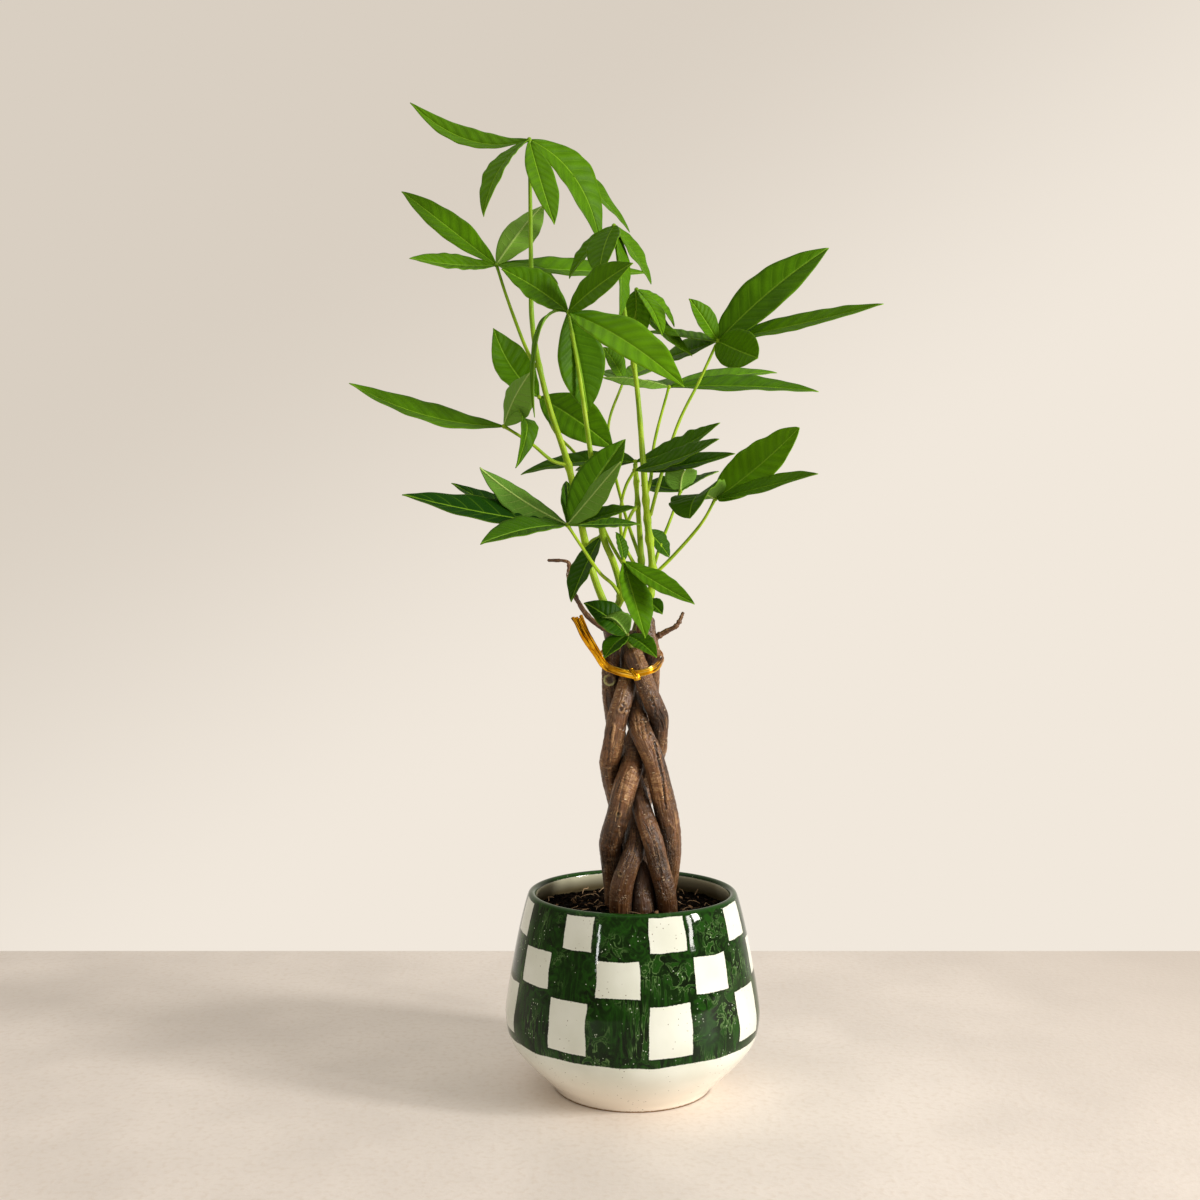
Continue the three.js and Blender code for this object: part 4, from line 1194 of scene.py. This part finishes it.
upper = Finish("leaf_upper")
under = Finish("leaf_underside")
for skin in (upper, under):
    place = skin.written("blade", "Vector")
    along = skin.part(place, "X")
    across = abs(along.beside("Y"))
    half = along.beside("Z")
    # The tint paints each leaflet darker or brighter: painted shade and painted light, with some random tone.
    tint = skin.written("tint")
    where = skin.place()
    rib = 1 - (across * half).rise(0.25, 0.75)
    passed = (along - (across ** 1.2) * VEIN_SLANT) * VEIN_PAIRS
    from_vein = abs(passed - passed.math("ROUND"))
    vein = (1 - from_vein.rise(0.0, 0.09)) * (1 - across.rise(0.6, 0.95))
    valley = 1 - from_vein.rise(0.0, 0.5)
    net = skin.node("ShaderNodeTexVoronoi", {"feature": "DISTANCE_TO_EDGE"}, {"Vector": where, "Scale": 520})
    net = 1 - net.rise(0.0, 0.12)
    mottle = skin.noise(where, 90, 3)
    if skin is upper:
        colour = skin.mix(tint, "143a02", "609203")
        colour = skin.layered(
            colour,
            (mottle.rise(0.35, 0.7) * (tint * 0.3), "6ba60a"),
            (valley * 0.25, "1f4401"),
            (vein * 0.16, "78a81c"),
            (rib * 0.7, "84b22c"),
            (across.rise(0.94, 1.0) * 0.3, "84ac2c"),
        )
        raised = valley * -0.35 + rib * -0.6 + net * -0.06
        roughness = 0.4 + mottle * 0.14
    else:
        colour = skin.mix(tint, "56802c", "7aa638")
        colour = skin.layered(
            colour,
            (mottle.rise(0.35, 0.7) * 0.4, "6a9630"),
            (vein * 0.4, "95b656"),
            (rib * 0.9, "a6c468"),
        )
        raised = vein * 0.6 + rib * 1.2 + net * 0.1
        roughness = 0.5 + mottle * 0.14
    skin.surface(colour, roughness, raised, 0.0004, specular=0.06)

sappy = Finish("green_stem")
grain = sappy.written("grain", "Vector")
where = sappy.place()
height = sappy.part(where, "Z")
lines = sappy.noise(sappy.stretched(grain, (1, 1, 0.05)), 1500, 2)
blotch = sappy.noise(where, 70, 2)
colour = sappy.mix(blotch.rise(0.35, 0.65), "789c14", "96b620")
colour = sappy.layered(
    colour,
    (lines.rise(0.45, 0.7) * 0.4, "bcd048"),
    (height.rise(0.38, 0.5) * 0.6, "5f9018"),
    ((1 - height.rise(0.272, 0.292)) * 0.75, "6e6a3a"),
)
sappy.surface(colour, 0.4, lines, 0.0003, specular=0.15)

for name, green, blades in shoots:
    upper.cover(blades)
    under.cover(blades)
    pick_only([blades])
    bpy.ops.object.modifier_add(type="SOLIDIFY")
    skin = blades.modifiers[-1]
    skin.thickness = BLADE_THICKNESS * MM
    skin.offset = 0
    skin.material_offset = 1
    bpy.ops.object.modifier_apply(modifier=skin.name)
    for piece in green:
        sappy.cover(piece)
    shoot = joined([blades, *green], name + "_leafy")
    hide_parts(name)
    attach(shoot, "root")

# Table
# The plain pale table the pot stands on, which ends well behind it. It is only the floor of this set.
TABLE_WIDTH = 6
TABLE_BACK = 0.289
TABLE_FRONT = -4

bpy.ops.object.select_all(action="DESELECT")
bpy.ops.mesh.primitive_plane_add(size=1)
table = bpy.context.object
table.name = "table"
for vertex in table.data.vertices:
    vertex.co.x *= TABLE_WIDTH
    vertex.co.y = TABLE_BACK if vertex.co.y > 0 else TABLE_FRONT

stone = Finish("pale_table")
where = stone.place()
cloud = stone.noise(where, 9, 4)
grit = stone.noise(where, 260, 4)
colour = stone.mix(cloud.rise(0.3, 0.7), "dbd4cd", "e8e1da")
colour = stone.mix(grit.rise(0.45, 0.75) * 0.3, colour, "cbbcab")
# The table is painted darker towards the right: painted shade.
to_right = stone.part(where, "X")
colour = stone.mix(to_right.rise(0.05, 0.6), colour, "c4bbb2")
stone.surface(colour, 0.55, grit, 0.0002)
stone.cover(table)

# Light
# A window at the right gives the bright side and the long shadow. A tall narrow pane in front of it and a
# thin strip at the left front add glints in the glaze, and a wide faint panel at the left softens the
# shadows. The wall behind is brighter to the lower right, the ceiling pale, and the room in front dimmer.

# Each lamp has its place, what it aims at, its width and height, its power and its colour.
LAMPS = [
    ((1.53, -0.58, 0.65), (0, 0, 0.22), (0.22, 0.42), 24.5, "fffaf4"),
    ((1.46, -0.86, 0.54), (0, 0, 0.20), (0.13, 0.48), 9.5, "fffaf4"),
    ((-0.95, -1.35, 0.42), (0, 0, 0.08), (0.05, 0.30), 1.9, "ffffff"),
    ((-1.40, -0.90, 0.90), (0, 0, 0.20), (1.20, 1.20), 1.5, "f6f2ec"),
]
for place, aim, (width, height), power, colour in LAMPS:
    bpy.ops.object.select_all(action="DESELECT")
    bpy.ops.object.light_add(type="AREA", location=place)
    lamp = bpy.context.object
    lamp.rotation_euler = (Vector(aim) - Vector(place)).to_track_quat("-Z", "Y").to_euler()
    lamp.data.shape = "RECTANGLE"
    lamp.data.size = width
    lamp.data.size_y = height
    lamp.data.energy = power
    lamp.data.color = tone(colour)[:3]

room = bpy.data.worlds.new("pale_room")
bpy.context.scene.world = room
room.use_nodes = True
walls = room.node_tree
walls.nodes.clear()
heading = walls.nodes.new("ShaderNodeTexCoord").outputs["Generated"]


def room_blend(towards, low, high, one, two):
    """Blends two colours of the room by how far one looks towards a direction."""
    share = walls.nodes.new("ShaderNodeVectorMath")
    ramp = walls.nodes.new("ShaderNodeMapRange")
    blend = walls.nodes.new("ShaderNodeMix")
    share.operation = "DOT_PRODUCT"
    share.inputs[1].default_value = towards
    ramp.interpolation_type = "SMOOTHSTEP"
    ramp.inputs["From Min"].default_value = low
    ramp.inputs["From Max"].default_value = high
    blend.data_type = "RGBA"
    walls.links.new(heading, share.inputs[0])
    walls.links.new(share.outputs["Value"], ramp.inputs["Value"])
    walls.links.new(ramp.outputs[0], blend.inputs[0])
    for socket, colour in ((blend.inputs[6], one), (blend.inputs[7], two)):
        if isinstance(colour, str):
            socket.default_value = tone(colour)
        else:
            walls.links.new(colour, socket)
    return blend.outputs[2]


behind = room_blend((0.56, 0, -0.83), -0.34, 0.06, "d9cfc2", "f1e8dc")
in_front = room_blend((1, 0, 0), -0.6, 0.6, "9a8f80", "aea396")
below_ceiling = room_blend((0, 0, 1), 0.5, 0.9, in_front, "f4ede4")
all_round = room_blend((0, 1, 0), 0.45, 0.84, below_ceiling, behind)
sky = walls.nodes.new("ShaderNodeBackground")
walls.links.new(all_round, sky.inputs["Color"])
walls.links.new(sky.outputs[0], walls.nodes.new("ShaderNodeOutputWorld").inputs["Surface"])
bpy.context.scene.view_settings.view_transform = "Standard"
